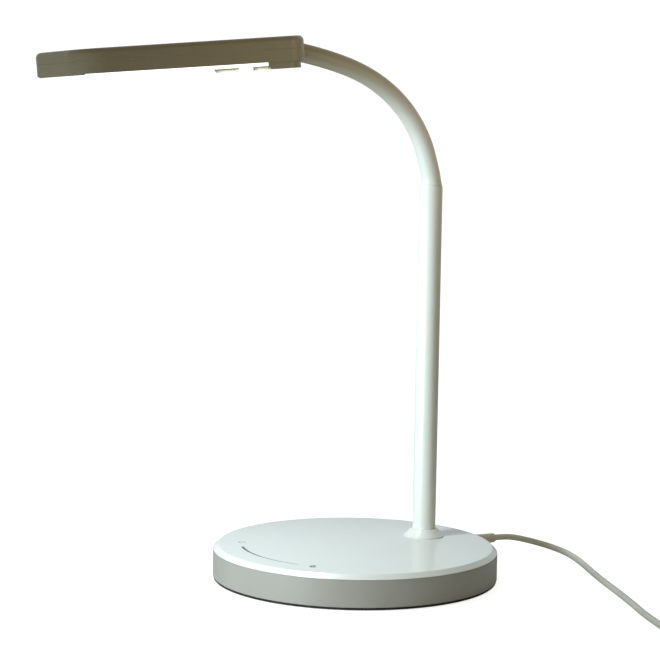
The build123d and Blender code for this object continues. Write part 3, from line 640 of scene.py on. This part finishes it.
def natural_spline(pts, n_per_mm=1.0):
    p = np.array(pts, float)
    d = np.concatenate([[0], np.cumsum(np.linalg.norm(np.diff(p, axis=0), axis=1))])
    n = len(d)
    h = np.diff(d)
    out = []
    t = np.linspace(0, d[-1], int(d[-1] * n_per_mm) + 1)
    for c in range(2):
        y = p[:, c]
        A = np.zeros((n, n))
        b = np.zeros(n)
        A[0, 0] = A[-1, -1] = 1.0
        for i in range(1, n - 1):
            A[i, i - 1], A[i, i], A[i, i + 1] = h[i - 1], 2 * (h[i - 1] + h[i]), h[i]
            b[i] = 6 * ((y[i + 1] - y[i]) / h[i] - (y[i] - y[i - 1]) / h[i - 1])
        m = np.linalg.solve(A, b)
        k = np.clip(np.searchsorted(d, t, side="right") - 1, 0, n - 2)
        a, e = d[k + 1] - t, t - d[k]
        out.append(m[k] * a ** 3 / (6 * h[k]) + m[k + 1] * e ** 3 / (6 * h[k])
                   + (y[k] / h[k] - m[k] * h[k] / 6) * a + (y[k + 1] / h[k] - m[k + 1] * h[k] / 6) * e)
    return t, np.stack(out, 1)


arc, line = natural_spline(centre)
total = arc[-1]


def sleeve_radius(l):
    """A short cone off the post's top, then a slow taper to the middle of the neck, even from there to the head."""
    return float(np.interp(l, [0.0, 1.0, 2.2, 3.5, 4.8, 6.5, 12.0, 40.0, 90.0, 170.0],
                           [7.30, 7.05, 6.78, 6.58, 6.45, 6.38, 6.34, 6.12, 5.78, 5.92]))


def ring_at(i, segs=40):
    p = line[i]
    q0, q1 = line[max(0, i - 1)], line[min(len(line) - 1, i + 1)]
    t = (q1 - q0) / np.linalg.norm(q1 - q0)
    tan = Vector((0.0, -t[0], t[1]))
    side = Vector((1.0, 0.0, 0.0))
    nor = tan.cross(side)
    c = Vector((0.0, POST_Y - p[0], p[1]))
    r = sleeve_radius(arc[i])
    return [c + (side * math.cos(w) + nor * math.sin(w)) * r for w in [2 * math.pi * k / segs for k in range(segs)]]


mids = [((a[0] + b[0]) / 2, (a[1] + b[1]) / 2) for a, b in zip(NECK_PTS, NECK_PTS[1:])]
cuts = [0] + [int(np.argmin(((line - np.array(m)) ** 2).sum(1))) for m in mids] + [len(line) - 1]
SEG = 40
WALL = 0.75
for k in range(9):
    i0, i1 = cuts[k], cuts[k + 1]
    verts, faces = [], []
    for inner in (False, True):
        for i in range(i0, i1 + 1):
            ring = ring_at(i, SEG)
            if inner:
                c = sum(ring, Vector()) / SEG
                ring = [c + (v - c) * (1 - WALL / (v - c).length) for v in ring]
            verts += [tuple(v) for v in ring]
    rows = i1 - i0 + 1
    for inner in (0, 1):
        o = inner * rows * SEG
        for r in range(rows - 1):
            for s in range(SEG):
                a, b = o + r * SEG + s, o + r * SEG + (s + 1) % SEG
                c, d = a + SEG, b + SEG
                faces.append((a, c, d, b) if inner else (a, b, d, c))
    if k in (0, 8):
        # the sleeve's own two ends are closed between outside and inside
        r = 0 if k == 0 else rows - 1
        for s in range(SEG):
            a, b = r * SEG + s, r * SEG + (s + 1) % SEG
            c, d = a + rows * SEG, b + rows * SEG
            faces.append((a, c, d, b) if k == 0 else (a, b, d, c))
    ob = new_object("neck_sleeve_%d" % (k + 1), verts, faces)
    for p in ob.data.polygons:
        p.use_smooth = True
    nodes = ["neck_link_%d" % (k + 1)] if k < 8 else ["upper_neck_ferrule"]
    piece(ob, None, "neck_sleeve", *nodes)
    a = Vector((0, POST_Y - (0.0 if k == 0 else mids[k - 1][0]), 255.0 if k == 0 else mids[k - 1][1])) * MM
    b = Vector((0, POST_Y - (mids[k][0] if k < 8 else HEAD_S - 2.5), mids[k][1] if k < 8 else HEAD_Z - 0.1)) * MM
    d = (b - a).normalized() * 0.9 * MM
    if k == 5:
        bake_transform(ob)
    else:
        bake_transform(ob)

# ---------------------------------------------------------------------------
# Head
# ---------------------------------------------------------------------------
dr = math.radians(HEAD_DROOP)
HEAD_M = Matrix((
    (-1.0, 0.0, 0.0, 0.0),
    (0.0, -math.cos(dr), -math.sin(dr), POST_Y - HEAD_S),
    (0.0, -math.sin(dr), math.cos(dr), HEAD_Z),
    (0.0, 0.0, 0.0, 1.0),
))
SIDE_M = Matrix(((0, 0, 1, 0), (1, 0, 0, 0), (0, 1, 0, 0), (0, 0, 0, 1)))  # outline (y, z), swept along x


def top_z(y):
    return HEAD_T0 / 2 + (HEAD_T1 - HEAD_T0) / 2 * y / HEAD_L


def solid(name, outline, a, b, m=None):
    v, f = prism(outline, a, b, m)
    return clean(new_object(name, v, f))


def plan_of(name, d, lo, hi):
    """The head's outline from above, set in by d, as a solid between two heights."""
    return solid(name, round_rect(HEAD_W - 2 * d, HEAD_L - 2 * d, HEAD_R - d, 0.0, HEAD_L / 2, step=5.0), lo, hi)


def shell_part(name, inset, zlo, r_rear, r_tip, lo, hi):
    y0, y1 = inset, HEAD_L - inset
    side = rounded([
        (y0, zlo, 0), (y1, zlo, 0), (y1, top_z(y1) - inset, r_tip), (y0, top_z(y0) - inset, r_rear),
    ], closed=True, step=9.0)
    w = HEAD_W - 2 * inset
    ob = solid(name, side, -w / 2, w / 2, SIDE_M)
    return boolean(ob, plan_of(name + "_plan", inset, lo, hi), "INTERSECT")


SEAM = 0.035


def round_top(ob, radius, segments):
    """Rounds the edge that runs all the way round the top face."""
    bm = bmesh.new()
    bm.from_mesh(ob.data)
    bmesh.ops.dissolve_limit(bm, angle_limit=math.radians(0.5), verts=bm.verts, edges=bm.edges)
    picked = [e for e in bm.edges if len(e.link_faces) == 2 and sorted([abs(f.normal.z) > 0.9 for f in e.link_faces]) == [False, True]
              and min(v.co.z for v in e.verts) > 3.0 * MM]
    bmesh.ops.bevel(bm, geom=picked, offset=radius * MM, offset_type="OFFSET", segments=segments, profile=0.5, affect="EDGES",
                    clamp_overlap=True)
    bmesh.ops.recalc_face_normals(bm, faces=bm.faces)
    bm.to_mesh(ob.data)
    bm.free()
    return ob


def to_head(ob):
    ob.data.transform(Matrix.Scale(1 / MM, 4))
    ob.data.transform(HEAD_M)
    ob.data.transform(Matrix.Scale(MM, 4))
    return ob


neck_slope = math.asin((HEAD_Z - NECK_PTS[-1][1]) / math.hypot(HEAD_S - NECK_PTS[-1][0], HEAD_Z - NECK_PTS[-1][1])) + dr
NECK_HOLE = Matrix.Rotation(neck_slope - math.pi / 2, 4, "X")

upper = shell_part("head_cover", 0.0, SEAM, 0.0, 0.0, -1.0, 12.0)
round_top(upper, EDGE_R, 7)
inner = shell_part("head_inner", HEAD_WALL, -2.0, 1.5, 1.5, -3.0, 12.0)
boolean(upper, inner)
cut = lathe("neck_cut", [(0.0, -4.0), (6.3, -4.0), (6.3, 7.0), (0.0, 7.0)], False, 48, NECK_HOLE)
boolean(upper, cut)
to_head(upper)
smooth(upper, 34)
piece(upper, "head", "head_taupe", "head_top_cover")

# lower bezel: wall below the seam, the rear block, the lip at the tip and the frame round the diffuser
PW = HEAD_W - 2 * LENS_IN
DY = HEAD_L - LENS_END
pz0 = -(top_z(LENS_REAR) + LENS_DROP0)
pz1 = -(top_z(HEAD_L - LENS_TIP) + LENS_DROP1)
slope = (pz1 - pz0) / (HEAD_L - LENS_TIP - LENS_REAR)
bz0, bz1 = -(top_z(0.0) + BLOCK_DROP), -(top_z(LENS_REAR) + BLOCK_DROP)


def pz_at(y):
    return pz0 + slope * (y - LENS_REAR)


lower = shell_part("head_bezel", 0.0, SEAM, 2.0, 1.6, -1.0, 12.0)
lower.data.transform(Matrix.Scale(-1, 4, (0, 0, 1)))
clean(lower)
bevel(lower, 0.4, 2, 40)
block = solid("block", rounded([
    (LENS_IN, -5.0, 0), (LENS_IN, bz0, 1.6), (LENS_REAR - 2.0, bz1, 0.0), (LENS_REAR - 0.1, pz0, 0.0), (LENS_REAR - 0.1, -5.0, 0),
], closed=True), -HEAD_W / 2, HEAD_W / 2, SIDE_M)
boolean(block, plan_of("block_plan", LENS_IN, -14.0, 0.0), "INTERSECT")
bevel(block, 0.5, 3, 50)
boolean(lower, block, "UNION")
lip = solid("lip", rounded([
    (DY + 0.08, -5.0, 0), (DY + 0.08, pz_at(DY + 0.08), 0.0), (HEAD_L - LENS_TIP, pz1, 0.0), (HEAD_L - LENS_TIP, -5.0, 0),
], closed=True), -HEAD_W / 2, HEAD_W / 2, SIDE_M)
lip_plan = solid("lip_plan", round_rect(PW, HEAD_L - LENS_TIP - LENS_REAR, HEAD_R - LENS_IN, 0.0, (HEAD_L - LENS_TIP + LENS_REAR) / 2, step=5.0), -14.0, 0.0)
boolean(lip, lip_plan, "INTERSECT")
bevel(lip, 0.3, 2, 50)
boolean(lower, lip, "UNION")
low_in = shell_part("low_in", HEAD_WALL, -2.0, 1.0, 1.0, -3.0, 12.0)
low_in.data.transform(Matrix.Scale(-1, 4, (0, 0, 1)))
clean(low_in)
boolean(lower, low_in)
rear_cut = plan_of("rear_cut", LENS_IN + 1.7, -9.4, 0.0)
rear_keep = solid("rear_keep", round_rect(HEAD_W, LENS_REAR - 2.0, 0.2, 0.0, (LENS_REAR - 2.0) / 2), -14.0, 1.0)
boolean(rear_cut, rear_keep, "INTERSECT")
boolean(lower, rear_cut)
window = plan_of("window", LENS_IN - 0.08, -14.0, 0.5)
span = solid("span", round_rect(HEAD_W + 10.0, DY + 0.08 - LENS_REAR + 0.1, 0.05, 0.0, (DY + 0.08 + LENS_REAR - 0.1) / 2), -15.0, 1.5)
boolean(window, span, "INTERSECT")
boolean(lower, window)
cut = lathe("neck_cut", [(0.0, -4.0), (6.3, -4.0), (6.3, 7.0), (0.0, 7.0)], False, 48, NECK_HOLE)
boolean(lower, cut)
HS = [(-HEAD_W / 2 + 7.6, 20.5), (HEAD_W / 2 - 7.6, 20.5), (-14.0, 8.0), (14.0, 8.0)]
for x, y in HS:
    cut = lathe("screw_cut", [(0.0, -14.0), (2.1, -14.0), (2.1, -5.6), (1.3, -5.6), (1.3, 1.0), (0.0, 1.0)], False, 32, Matrix.Translation((x, y, 0)))
    boolean(lower, cut)
to_head(lower)
smooth(lower, 34)
piece(lower, "head", "head_taupe", "head_bottom_bezel")

# diffuser: a shallow milky tray that stands below the bezel
lens = solid("diffuser_tray", rounded([
    (LENS_REAR + 0.05, -5.0, 0), (LENS_REAR + 0.05, pz_at(LENS_REAR + 0.05), 0.0), (DY, pz_at(DY), 0.0), (DY, -5.0, 0),
], closed=True), -HEAD_W / 2, HEAD_W / 2, SIDE_M)
boolean(lens, plan_of("lens_plan", LENS_IN, -14.0, 0.0), "INTERSECT")
bevel(lens, 0.35, 3, 50)
lens_cut = plan_of("lens_cut", LENS_IN + 1.6, -6.4, 0.0)
span = solid("span", round_rect(HEAD_W + 10.0, DY - 1.6 - LENS_REAR - 1.6, 0.05, 0.0, (DY + LENS_REAR) / 2), -15.0, 1.5)
boolean(lens_cut, span, "INTERSECT")
boolean(lens, lens_cut)
to_head(lens)
smooth(lens, 34)
piece(lens, "head", "diffuser_milk", "diffuser")

# sensor pad at the start of the diffuser, as deep as the rear block
pad_y = LENS_REAR + 1.85
pad = solid("sensor_window", round_rect(12.0, 3.4, 0.8, 0.0, 0.0), -1.9, 0.0)
bevel(pad, 0.3, 3, 40)
pad.data.transform(Matrix.Scale(1 / MM, 4))
pad.data.transform(Matrix.Translation((-10.0, pad_y, pz_at(pad_y) - 0.01)) @ Matrix.Rotation(math.atan(slope), 4, "X"))
pad.data.transform(Matrix.Scale(MM, 4))
to_head(pad)
smooth(pad, 34)
piece(pad, "head", "pad_clear", "sensor_pad")


# ---------------------------------------------------------------------------
# Plug at the base, strain relief, tie and supply plug
# ---------------------------------------------------------------------------
REV_Y = Matrix.Translation((JACK_X, JACK_Y, JACK_Z)) @ Matrix.Rotation(-math.pi / 2, 4, "X")
grip = lathe("plug_grip", rounded([
    (0.0, 0.62, 0), (3.6, 0.62, 0.3), (4.25, 1.4, 0.5), (4.3, 4.0, 0.0), (4.3, 11.6, 0.6), (3.75, 13.1, 0.5), (3.55, 13.6, 0), (0.0, 13.6, 0),
], step=10.0), False, 64, REV_Y)
smooth(grip, 40)
piece(grip, "base", "plug_grey", "dc_plug_grip")

# strain relief: a tapered boot with shallow flex grooves
prof = [(0.0, 13.62, 0), (3.57, 13.62, 0), (3.65, 14.2, 0.3)]
z = 15.6
while z < 26.4:
    r = 3.65 + (3.22 - 3.65) * (z - 14.3) / 13.1
    prof += [(r, z, 0.15), (r - 0.28, z + 0.35, 0.15), (r - 0.28, z + 0.75, 0.15), (r - 0.02, z + 1.1, 0.15)]
    z += 2.3
prof += [(3.2, 27.6, 0.3), (2.85, 28.6, 0.4), (CORD_D / 2 + 0.3, 29.0, 0.1), (0.0, 29.0, 0)]
boot = lathe("lead_boot", rounded(prof, step=18.0), False, 64, REV_Y)
smooth(boot, 40)
piece(boot, "base", "plug_grey", "cord_strain_relief")

# tie: a soft strap round the bundle of turns
TIE_A = math.radians(10.0)
tie_c = Vector((COIL_C[0] + COIL_R * math.cos(TIE_A), COIL_C[1] + COIL_R * math.sin(TIE_A), 0.85 + 6.35))
TIE_M = Matrix.Translation(tie_c) @ Matrix.Rotation(TIE_A, 4, "Z") @ Matrix(((1, 0, 0, 0), (0, 0, -1, 0), (0, 1, 0, 0), (0, 0, 0, 1)))
tie_out = round_rect(12.7 + 1.56, 12.7 + 1.56, 2.6, step=15.0)
tie_in = round_rect(12.7 + 0.1, 12.7 + 0.1, 2.0, step=15.0)
n = len(tie_out)
verts, faces = [], []
for zz in (-3.5, -3.3, 3.3, 3.5):
    edge = 0.12 if abs(zz) > 3.4 else 0.0
    verts += [((a * (1 - edge / 6)), (b * (1 - edge / 6)), zz) for a, b in tie_out]
for zz in (-3.5, 3.5):
    verts += [(a, b, zz) for a, b in tie_in]
for r in range(3):
    for s in range(n):
        a, b = r * n + s, r * n + (s + 1) % n
        faces.append((a, b, b + n, a + n))
for s in range(n):
    j = (s + 1) % n
    faces.append((s, 4 * n + s, 4 * n + j, j))
    faces.append((3 * n + s, 3 * n + j, 5 * n + j, 5 * n + s))
    faces.append((4 * n + s, 5 * n + s, 5 * n + j, 4 * n + j))
tie = new_object("cord_wrap", [tuple(TIE_M @ Vector(v)) for v in verts], faces)
clean(tie)
smooth(tie, 40)
piece(tie, "base", "tie_grey", "cord_tie")

# supply plug
t0, t1 = Vector(tail[-2]) / MM, Vector(tail[-1]) / MM
td = Vector((t1.x - t0.x, t1.y - t0.y, 0.0)).normalized()
tn = Vector((-td.y, td.x, 0.0))
USB_M = Matrix(((tn.x, 0, td.x, t1.x), (tn.y, 0, td.y, t1.y), (0, 1, 0, 4.2), (0, 0, 0, 1)))
USB_M = Matrix.Translation((t1.x, t1.y, 4.2)) @ Matrix((tn, td.cross(tn), td)).transposed().to_4x4()


def lofted(name, sections, m):
    """Closed loft through rounded-rectangle sections of (z, width, height, corner)."""
    verts, faces = [], []
    per = None
    for zz, w, h, r in sections:
        o = round_rect(w, h, r, step=15.0)
        per = len(o)
        verts += [(a, b, zz) for a, b in o]
    for k in range(len(sections) - 1):
        for s in range(per):
            a, b = k * per + s, k * per + (s + 1) % per
            faces.append((a, b, b + per, a + per))
    faces.append(tuple(range(per))[::-1])
    faces.append(tuple(range((len(sections) - 1) * per, len(sections) * per)))
    return clean(new_object(name, [tuple(m @ Vector(v)) for v in verts], faces))


usb = lofted("supply_plug_grip", [
    (0.0, 4.6, 4.4, 2.0), (0.4, 5.3, 4.9, 2.2), (3.0, 5.7, 5.1, 2.3), (3.3, 5.2, 4.8, 2.2), (4.3, 5.2, 4.8, 2.2), (4.6, 5.8, 5.2, 2.3),
    (6.4, 6.0, 5.4, 2.3), (6.7, 5.5, 5.0, 2.2), (7.7, 5.5, 5.0, 2.2), (8.0, 6.1, 5.6, 2.3), (11.4, 6.3, 5.7, 2.4), (12.0, 9.5, 6.4, 2.5),
    (12.8, 14.4, 7.3, 2.6), (14.0, 15.3, 7.7, 2.4), (16.0, 15.4, 7.8, 2.2), (30.6, 15.4, 7.8, 2.2), (31.6, 15.0, 7.4, 2.0), (32.0, 14.2, 6.6, 1.8),
], USB_M)
smooth(usb, 40)
piece(usb, "base", "plug_grey", "usb_plug_grip")


# ---------------------------------------------------------------------------
# Printed marks on the cover, a hair above its face
# ---------------------------------------------------------------------------
def polar(r, deg):
    return (r * math.cos(math.radians(deg)), r * math.sin(math.radians(deg)))


Z0, Z1 = BASE_H - 0.02, BASE_H + 0.035


def flat_ring(name, centre, outer, inner, a0, a1, n=48):
    verts, faces = [], []
    for zz in (Z0, Z1):
        for r in (outer, inner):
            for k in range(n + 1):
                w = math.radians(a0 + (a1 - a0) * k / n)
                verts.append((centre[0] + r * math.cos(w), centre[1] + r * math.sin(w), zz))
    m = n + 1
    for k in range(n):
        o0, i0, o1, i1 = k, m + k, 2 * m + k, 3 * m + k
        faces += [(o1, o1 + 1, i1 + 1, i1), (o0, i0, i0 + 1, o0 + 1), (o0, o0 + 1, o1 + 1, o1), (i0, i1, i1 + 1, i0 + 1)]
    for k in (0, n):
        faces.append((k, 2 * m + k, 3 * m + k, m + k) if k == 0 else (k, m + k, 3 * m + k, 2 * m + k))
    return clean(new_object(name, verts, faces))


n = 60
verts, faces = [], []
for zz in (Z0, Z1):
    for sgn in (1, -1):
        for k in range(n + 1):
            t = k / n
            w = 1.5 * (1 - t) ** 1.7 + 0.5
            if t < 0.03:
                w *= math.sqrt(max(0.05, t / 0.03))
            a = -111.5 + (-62.0 + 111.5) * t
            verts.append((*polar(73.9 + sgn * w / 2, a), zz))
m_ = n + 1
for k in range(n):
    o0, i0, o1, i1 = k, m_ + k, 2 * m_ + k, 3 * m_ + k
    faces += [(o1, o1 + 1, i1 + 1, i1), (o0, i0, i0 + 1, o0 + 1), (o0, o0 + 1, o1 + 1, o1), (i0, i1, i1 + 1, i0 + 1)]
for k in (0, n):
    faces.append((k, 2 * m_ + k, 3 * m_ + k, m_ + k))
slider = clean(new_object("slider_print", verts, faces))
piece(slider, "base", "inlay_grey", "slider_mark")

px, py = polar(74.6, -53.8)
ring = flat_ring("power_print", (px, py), 2.3, 1.05, -53.8 + 90 + 62, -53.8 + 90 + 360 - 2)
bar_m = Matrix.Translation((px, py, 0)) @ Matrix.Rotation(math.radians(-53.8 + 90), 4, "Z")
v, f = prism([(-0.5, 0.1), (0.5, 0.1), (0.5, 2.7), (-0.5, 2.7)], Z0, Z1, bar_m)
bar = clean(new_object("power_bar", v, f))
bm = bmesh.new()
bm.from_mesh(ring.data)
bm.from_mesh(bar.data)
bm.to_mesh(ring.data)
bm.free()
bpy.data.objects.remove(bar)
piece(ring, "base", "inlay_grey", "power_mark")
paint(ring, "inlay_dark")
mx, my = polar(73.4, -122.4)
mode = flat_ring("mode_print", (mx, my), 2.3, 1.95, 0.0, 340.0)
piece(mode, "base", "inlay_grey", "mode_mark")

# ---------------------------------------------------------------------------
# CAD nodes that stay: their finishes
# ---------------------------------------------------------------------------
KEEP = {
    "base_lower_shell": "silver_satin", "foot_ring": "rubber_black", "base_screws": "screw_steel", "base_weight": "ballast_iron",
    "weight_screws": "screw_steel", "touch_board": "board_green", "touch_chip": "chip_black", "driver_board": "board_green",
    "driver_parts": "chip_black", "dc_jack": "socket_black", "dc_jack_pin": "contact_brass", "post_flange": "turned_steel",
    "post_nut": "turned_steel", "post_stud": "turned_steel", "post_lead": "lead_white", "lead_connector": "lead_white",
    "lower_neck_ferrule": "post_white", "reflector": "reflector_white",
    "led_board": "board_white", "leds": "led_yellow", "neck_clamp": "zinc_cast", "clamp_screws": "screw_steel",
    "head_screws": "screw_steel", "dc_plug_barrel": "plated_steel", "usb_plug_shell": "plated_steel", "usb_plug_tongue": "lead_white",
}
for name, slot in KEEP.items():
    paint(NODES[name], slot)
for name, ob in NODES.items():
    if name not in KEEP:
        slot_of = {
            "base_top_cover": "white_gloss", "slider_mark": "inlay_grey", "power_mark": "inlay_grey", "mode_mark": "inlay_grey",
            "post_collar": "white_gloss", "post_tube": "post_white", "head_top_cover": "head_taupe", "head_bottom_bezel": "head_taupe",
            "diffuser": "diffuser_milk", "sensor_pad": "pad_clear", "dc_plug_grip": "plug_grey", "cord_strain_relief": "plug_grey",
            "power_cord": "cord_jacket", "cord_coil": "cord_jacket", "cord_tail": "cord_jacket", "cord_tie": "tie_grey",
            "usb_plug_grip": "plug_grey",
        }.get(name, "neck_sleeve")
        paint(ob, slot_of)

# ---------------------------------------------------------------------------
# Studio: pale floor and surround, soft light, and the lamp's own panel
# ---------------------------------------------------------------------------


def stage_mesh(name, verts, faces, mat):
    ob = new_object(name, verts, faces, scale=1.0)
    ob.data.materials.append(mat)
    return ob


def rays(ob, camera, diffuse, glossy, shadow):
    ob.visible_camera = camera
    ob.visible_diffuse = diffuse
    ob.visible_glossy = glossy
    ob.visible_transmission = diffuse
    ob.visible_volume_scatter = False
    ob.visible_shadow = shadow


def disc(r, z, n=96):
    return [(0.0, 0.0, z)] + [(r * math.cos(2 * math.pi * k / n), r * math.sin(2 * math.pi * k / n), z) for k in range(n)], \
        [(0, 1 + k, 1 + (k + 1) % n) for k in range(n)]


fm = Mat("floor_pale")
fm.link(fm.ramp(fm.noise(3.0, 3.0), [(0.3, (0.84, 0.84, 0.84, 1)), (0.7, (0.88, 0.88, 0.88, 1))]), fm.p.inputs["Base Color"])
fm.p.inputs["Roughness"].default_value = 0.9
fm.p.inputs["Specular IOR Level"].default_value = 0.0
fm.p.inputs["Emission Color"].default_value = (1.0, 1.0, 1.0, 1.0)
fm.p.inputs["Emission Strength"].default_value = 0.80
floor = stage_mesh("floor", *disc(9.0, -0.0004), fm.m)
rays(floor, True, False, False, False)

dm = Mat("desk_pale")
dm.link(dm.ramp(dm.noise(3.0, 3.0), [(0.3, (0.54, 0.54, 0.52, 1)), (0.7, (0.58, 0.58, 0.56, 1))]), dm.p.inputs["Base Color"])
dm.p.inputs["Roughness"].default_value = 0.9
dm.p.inputs["Specular IOR Level"].default_value = 0.0
desk = stage_mesh("floor_bounce", *disc(9.0, -0.0008), dm.m)
rays(desk, False, True, True, True)

sm = Mat("surround_pale")
sm.p.inputs["Base Color"].default_value = (0.0, 0.0, 0.0, 1.0)
sm.p.inputs["Specular IOR Level"].default_value = 0.0
sm.p.inputs["Emission Color"].default_value = (1.0, 1.0, 1.0, 1.0)
sm.p.inputs["Emission Strength"].default_value = 1.05
rings, around = 24, 48
verts = [(0.0, 0.0, 8.8)]
faces = []
for i in range(1, rings + 1):
    th = math.pi * 0.62 * i / rings
    for k in range(around):
        w = 2 * math.pi * k / around
        verts.append((8.8 * math.sin(th) * math.cos(w), 8.8 * math.sin(th) * math.sin(w), 8.8 * math.cos(th)))
for k in range(around):
    faces.append((0, 1 + (k + 1) % around, 1 + k))
for i in range(rings - 1):
    for k in range(around):
        a, b = 1 + i * around + k, 1 + i * around + (k + 1) % around
        faces.append((a, b, b + around, a + around))
surround = stage_mesh("surround", verts, faces, sm.m)
rays(surround, True, False, False, False)

# soft room light, by direction: dim and warm from the camera's side and above, brighter and neutral from behind
world = bpy.data.worlds.new("room")
SCENE.world = world
world.use_nodes = True
wt = world.node_tree
wt.nodes.clear()
wo = wt.nodes.new("ShaderNodeOutputWorld")
bg = wt.nodes.new("ShaderNodeBackground")
wt.links.new(bg.outputs[0], wo.inputs[0])
wc = wt.nodes.new("ShaderNodeTexCoord")


def dot_with(d):
    n_ = wt.nodes.new("ShaderNodeVectorMath")
    n_.operation = "DOT_PRODUCT"
    wt.links.new(wc.outputs["Generated"], n_.inputs[0])
    n_.inputs[1].default_value = tuple(Vector(d).normalized())
    return n_.outputs["Value"]


def wramp(src, stops):
    mr = wt.nodes.new("ShaderNodeMapRange")
    mr.inputs["From Min"].default_value = -1.0
    mr.inputs["From Max"].default_value = 1.0
    wt.links.new(src, mr.inputs["Value"])
    r = wt.nodes.new("ShaderNodeValToRGB")
    cr = r.color_ramp
    cr.interpolation = "EASE"
    while len(cr.elements) > 1:
        cr.elements.remove(cr.elements[-1])
    cr.elements[0].position, cr.elements[0].color = stops[0]
    for pos, col in stops[1:]:
        e = cr.elements.new(pos)
        e.color = col
    wt.links.new(mr.outputs[0], r.inputs[0])
    return r.outputs[0]


def wadd(a, b):
    n_ = wt.nodes.new("ShaderNodeMix")
    n_.data_type = "RGBA"
    n_.blend_type = "ADD"
    n_.inputs["Factor"].default_value = 1.0
    wt.links.new(a, n_.inputs["A"])
    wt.links.new(b, n_.inputs["B"])
    return n_.outputs["Result"]


behind = (-0.835, 0.543, 0.25)
room = wramp(dot_with((0.0, 0.0, 1.0)), [(0.0, (0.20, 0.165, 0.100, 1)), (0.5, (0.225, 0.187, 0.115, 1)), (1.0, (0.22, 0.19, 0.13, 1))])
back = wramp(dot_with(behind), [(0.0, (0, 0, 0, 1)), (0.58, (0.0, 0.0, 0.0, 1)), (1.0, (0.40, 0.52, 0.62, 1))])
wt.links.new(wadd(room, back), bg.inputs["Color"])
bg.inputs["Strength"].default_value = 1.0


def area(name, loc, target, size, power, color, shape="RECTANGLE", size_y=None, body=None, spread=180.0):
    ld = bpy.data.lights.new(name, "AREA")
    ld.shape = shape
    ld.size = size
    if size_y:
        ld.size_y = size_y
    ld.energy = power
    ld.color = color
    ld.spread = math.radians(spread)
    ob = bpy.data.objects.new(name, ld)
    SCENE.collection.objects.link(ob)
    ob.location = loc
    ob.rotation_mode = "QUATERNION"
    ob.rotation_quaternion = (Vector(target) - Vector(loc)).to_track_quat("-Z", "Y")
    ob.visible_camera = False
    if body:
        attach(ob, body)
    return ob


# the lamp's own light, just under the diffuser
lc = HEAD_M @ Vector((0.0, (LENS_REAR + DY) / 2, (pz0 + pz1) / 2 - 1.6))
ldn = HEAD_M.to_3x3() @ Vector((0.0, 0.0, -1.0))
lamp = area("panel_light", lc * MM, (lc + ldn * 100) * MM, 0.058, 0.73, (0.82, 0.96, 1.0), size_y=0.114, body="head")

# what the lit desk throws back from the front left, and a weak warm lamp across the room
area("desk_return", (0.10, -0.62, 0.05), (0.0, 0.02, 0.10), 0.34, 0.46, (0.86, 0.97, 1.0), size_y=0.09, spread=76.0)
area("room_lamp", (0.34, 0.26, 0.37), (0.0, -0.04, 0.335), 0.16, 0.037, (1.0, 0.84, 0.58), spread=50.0)
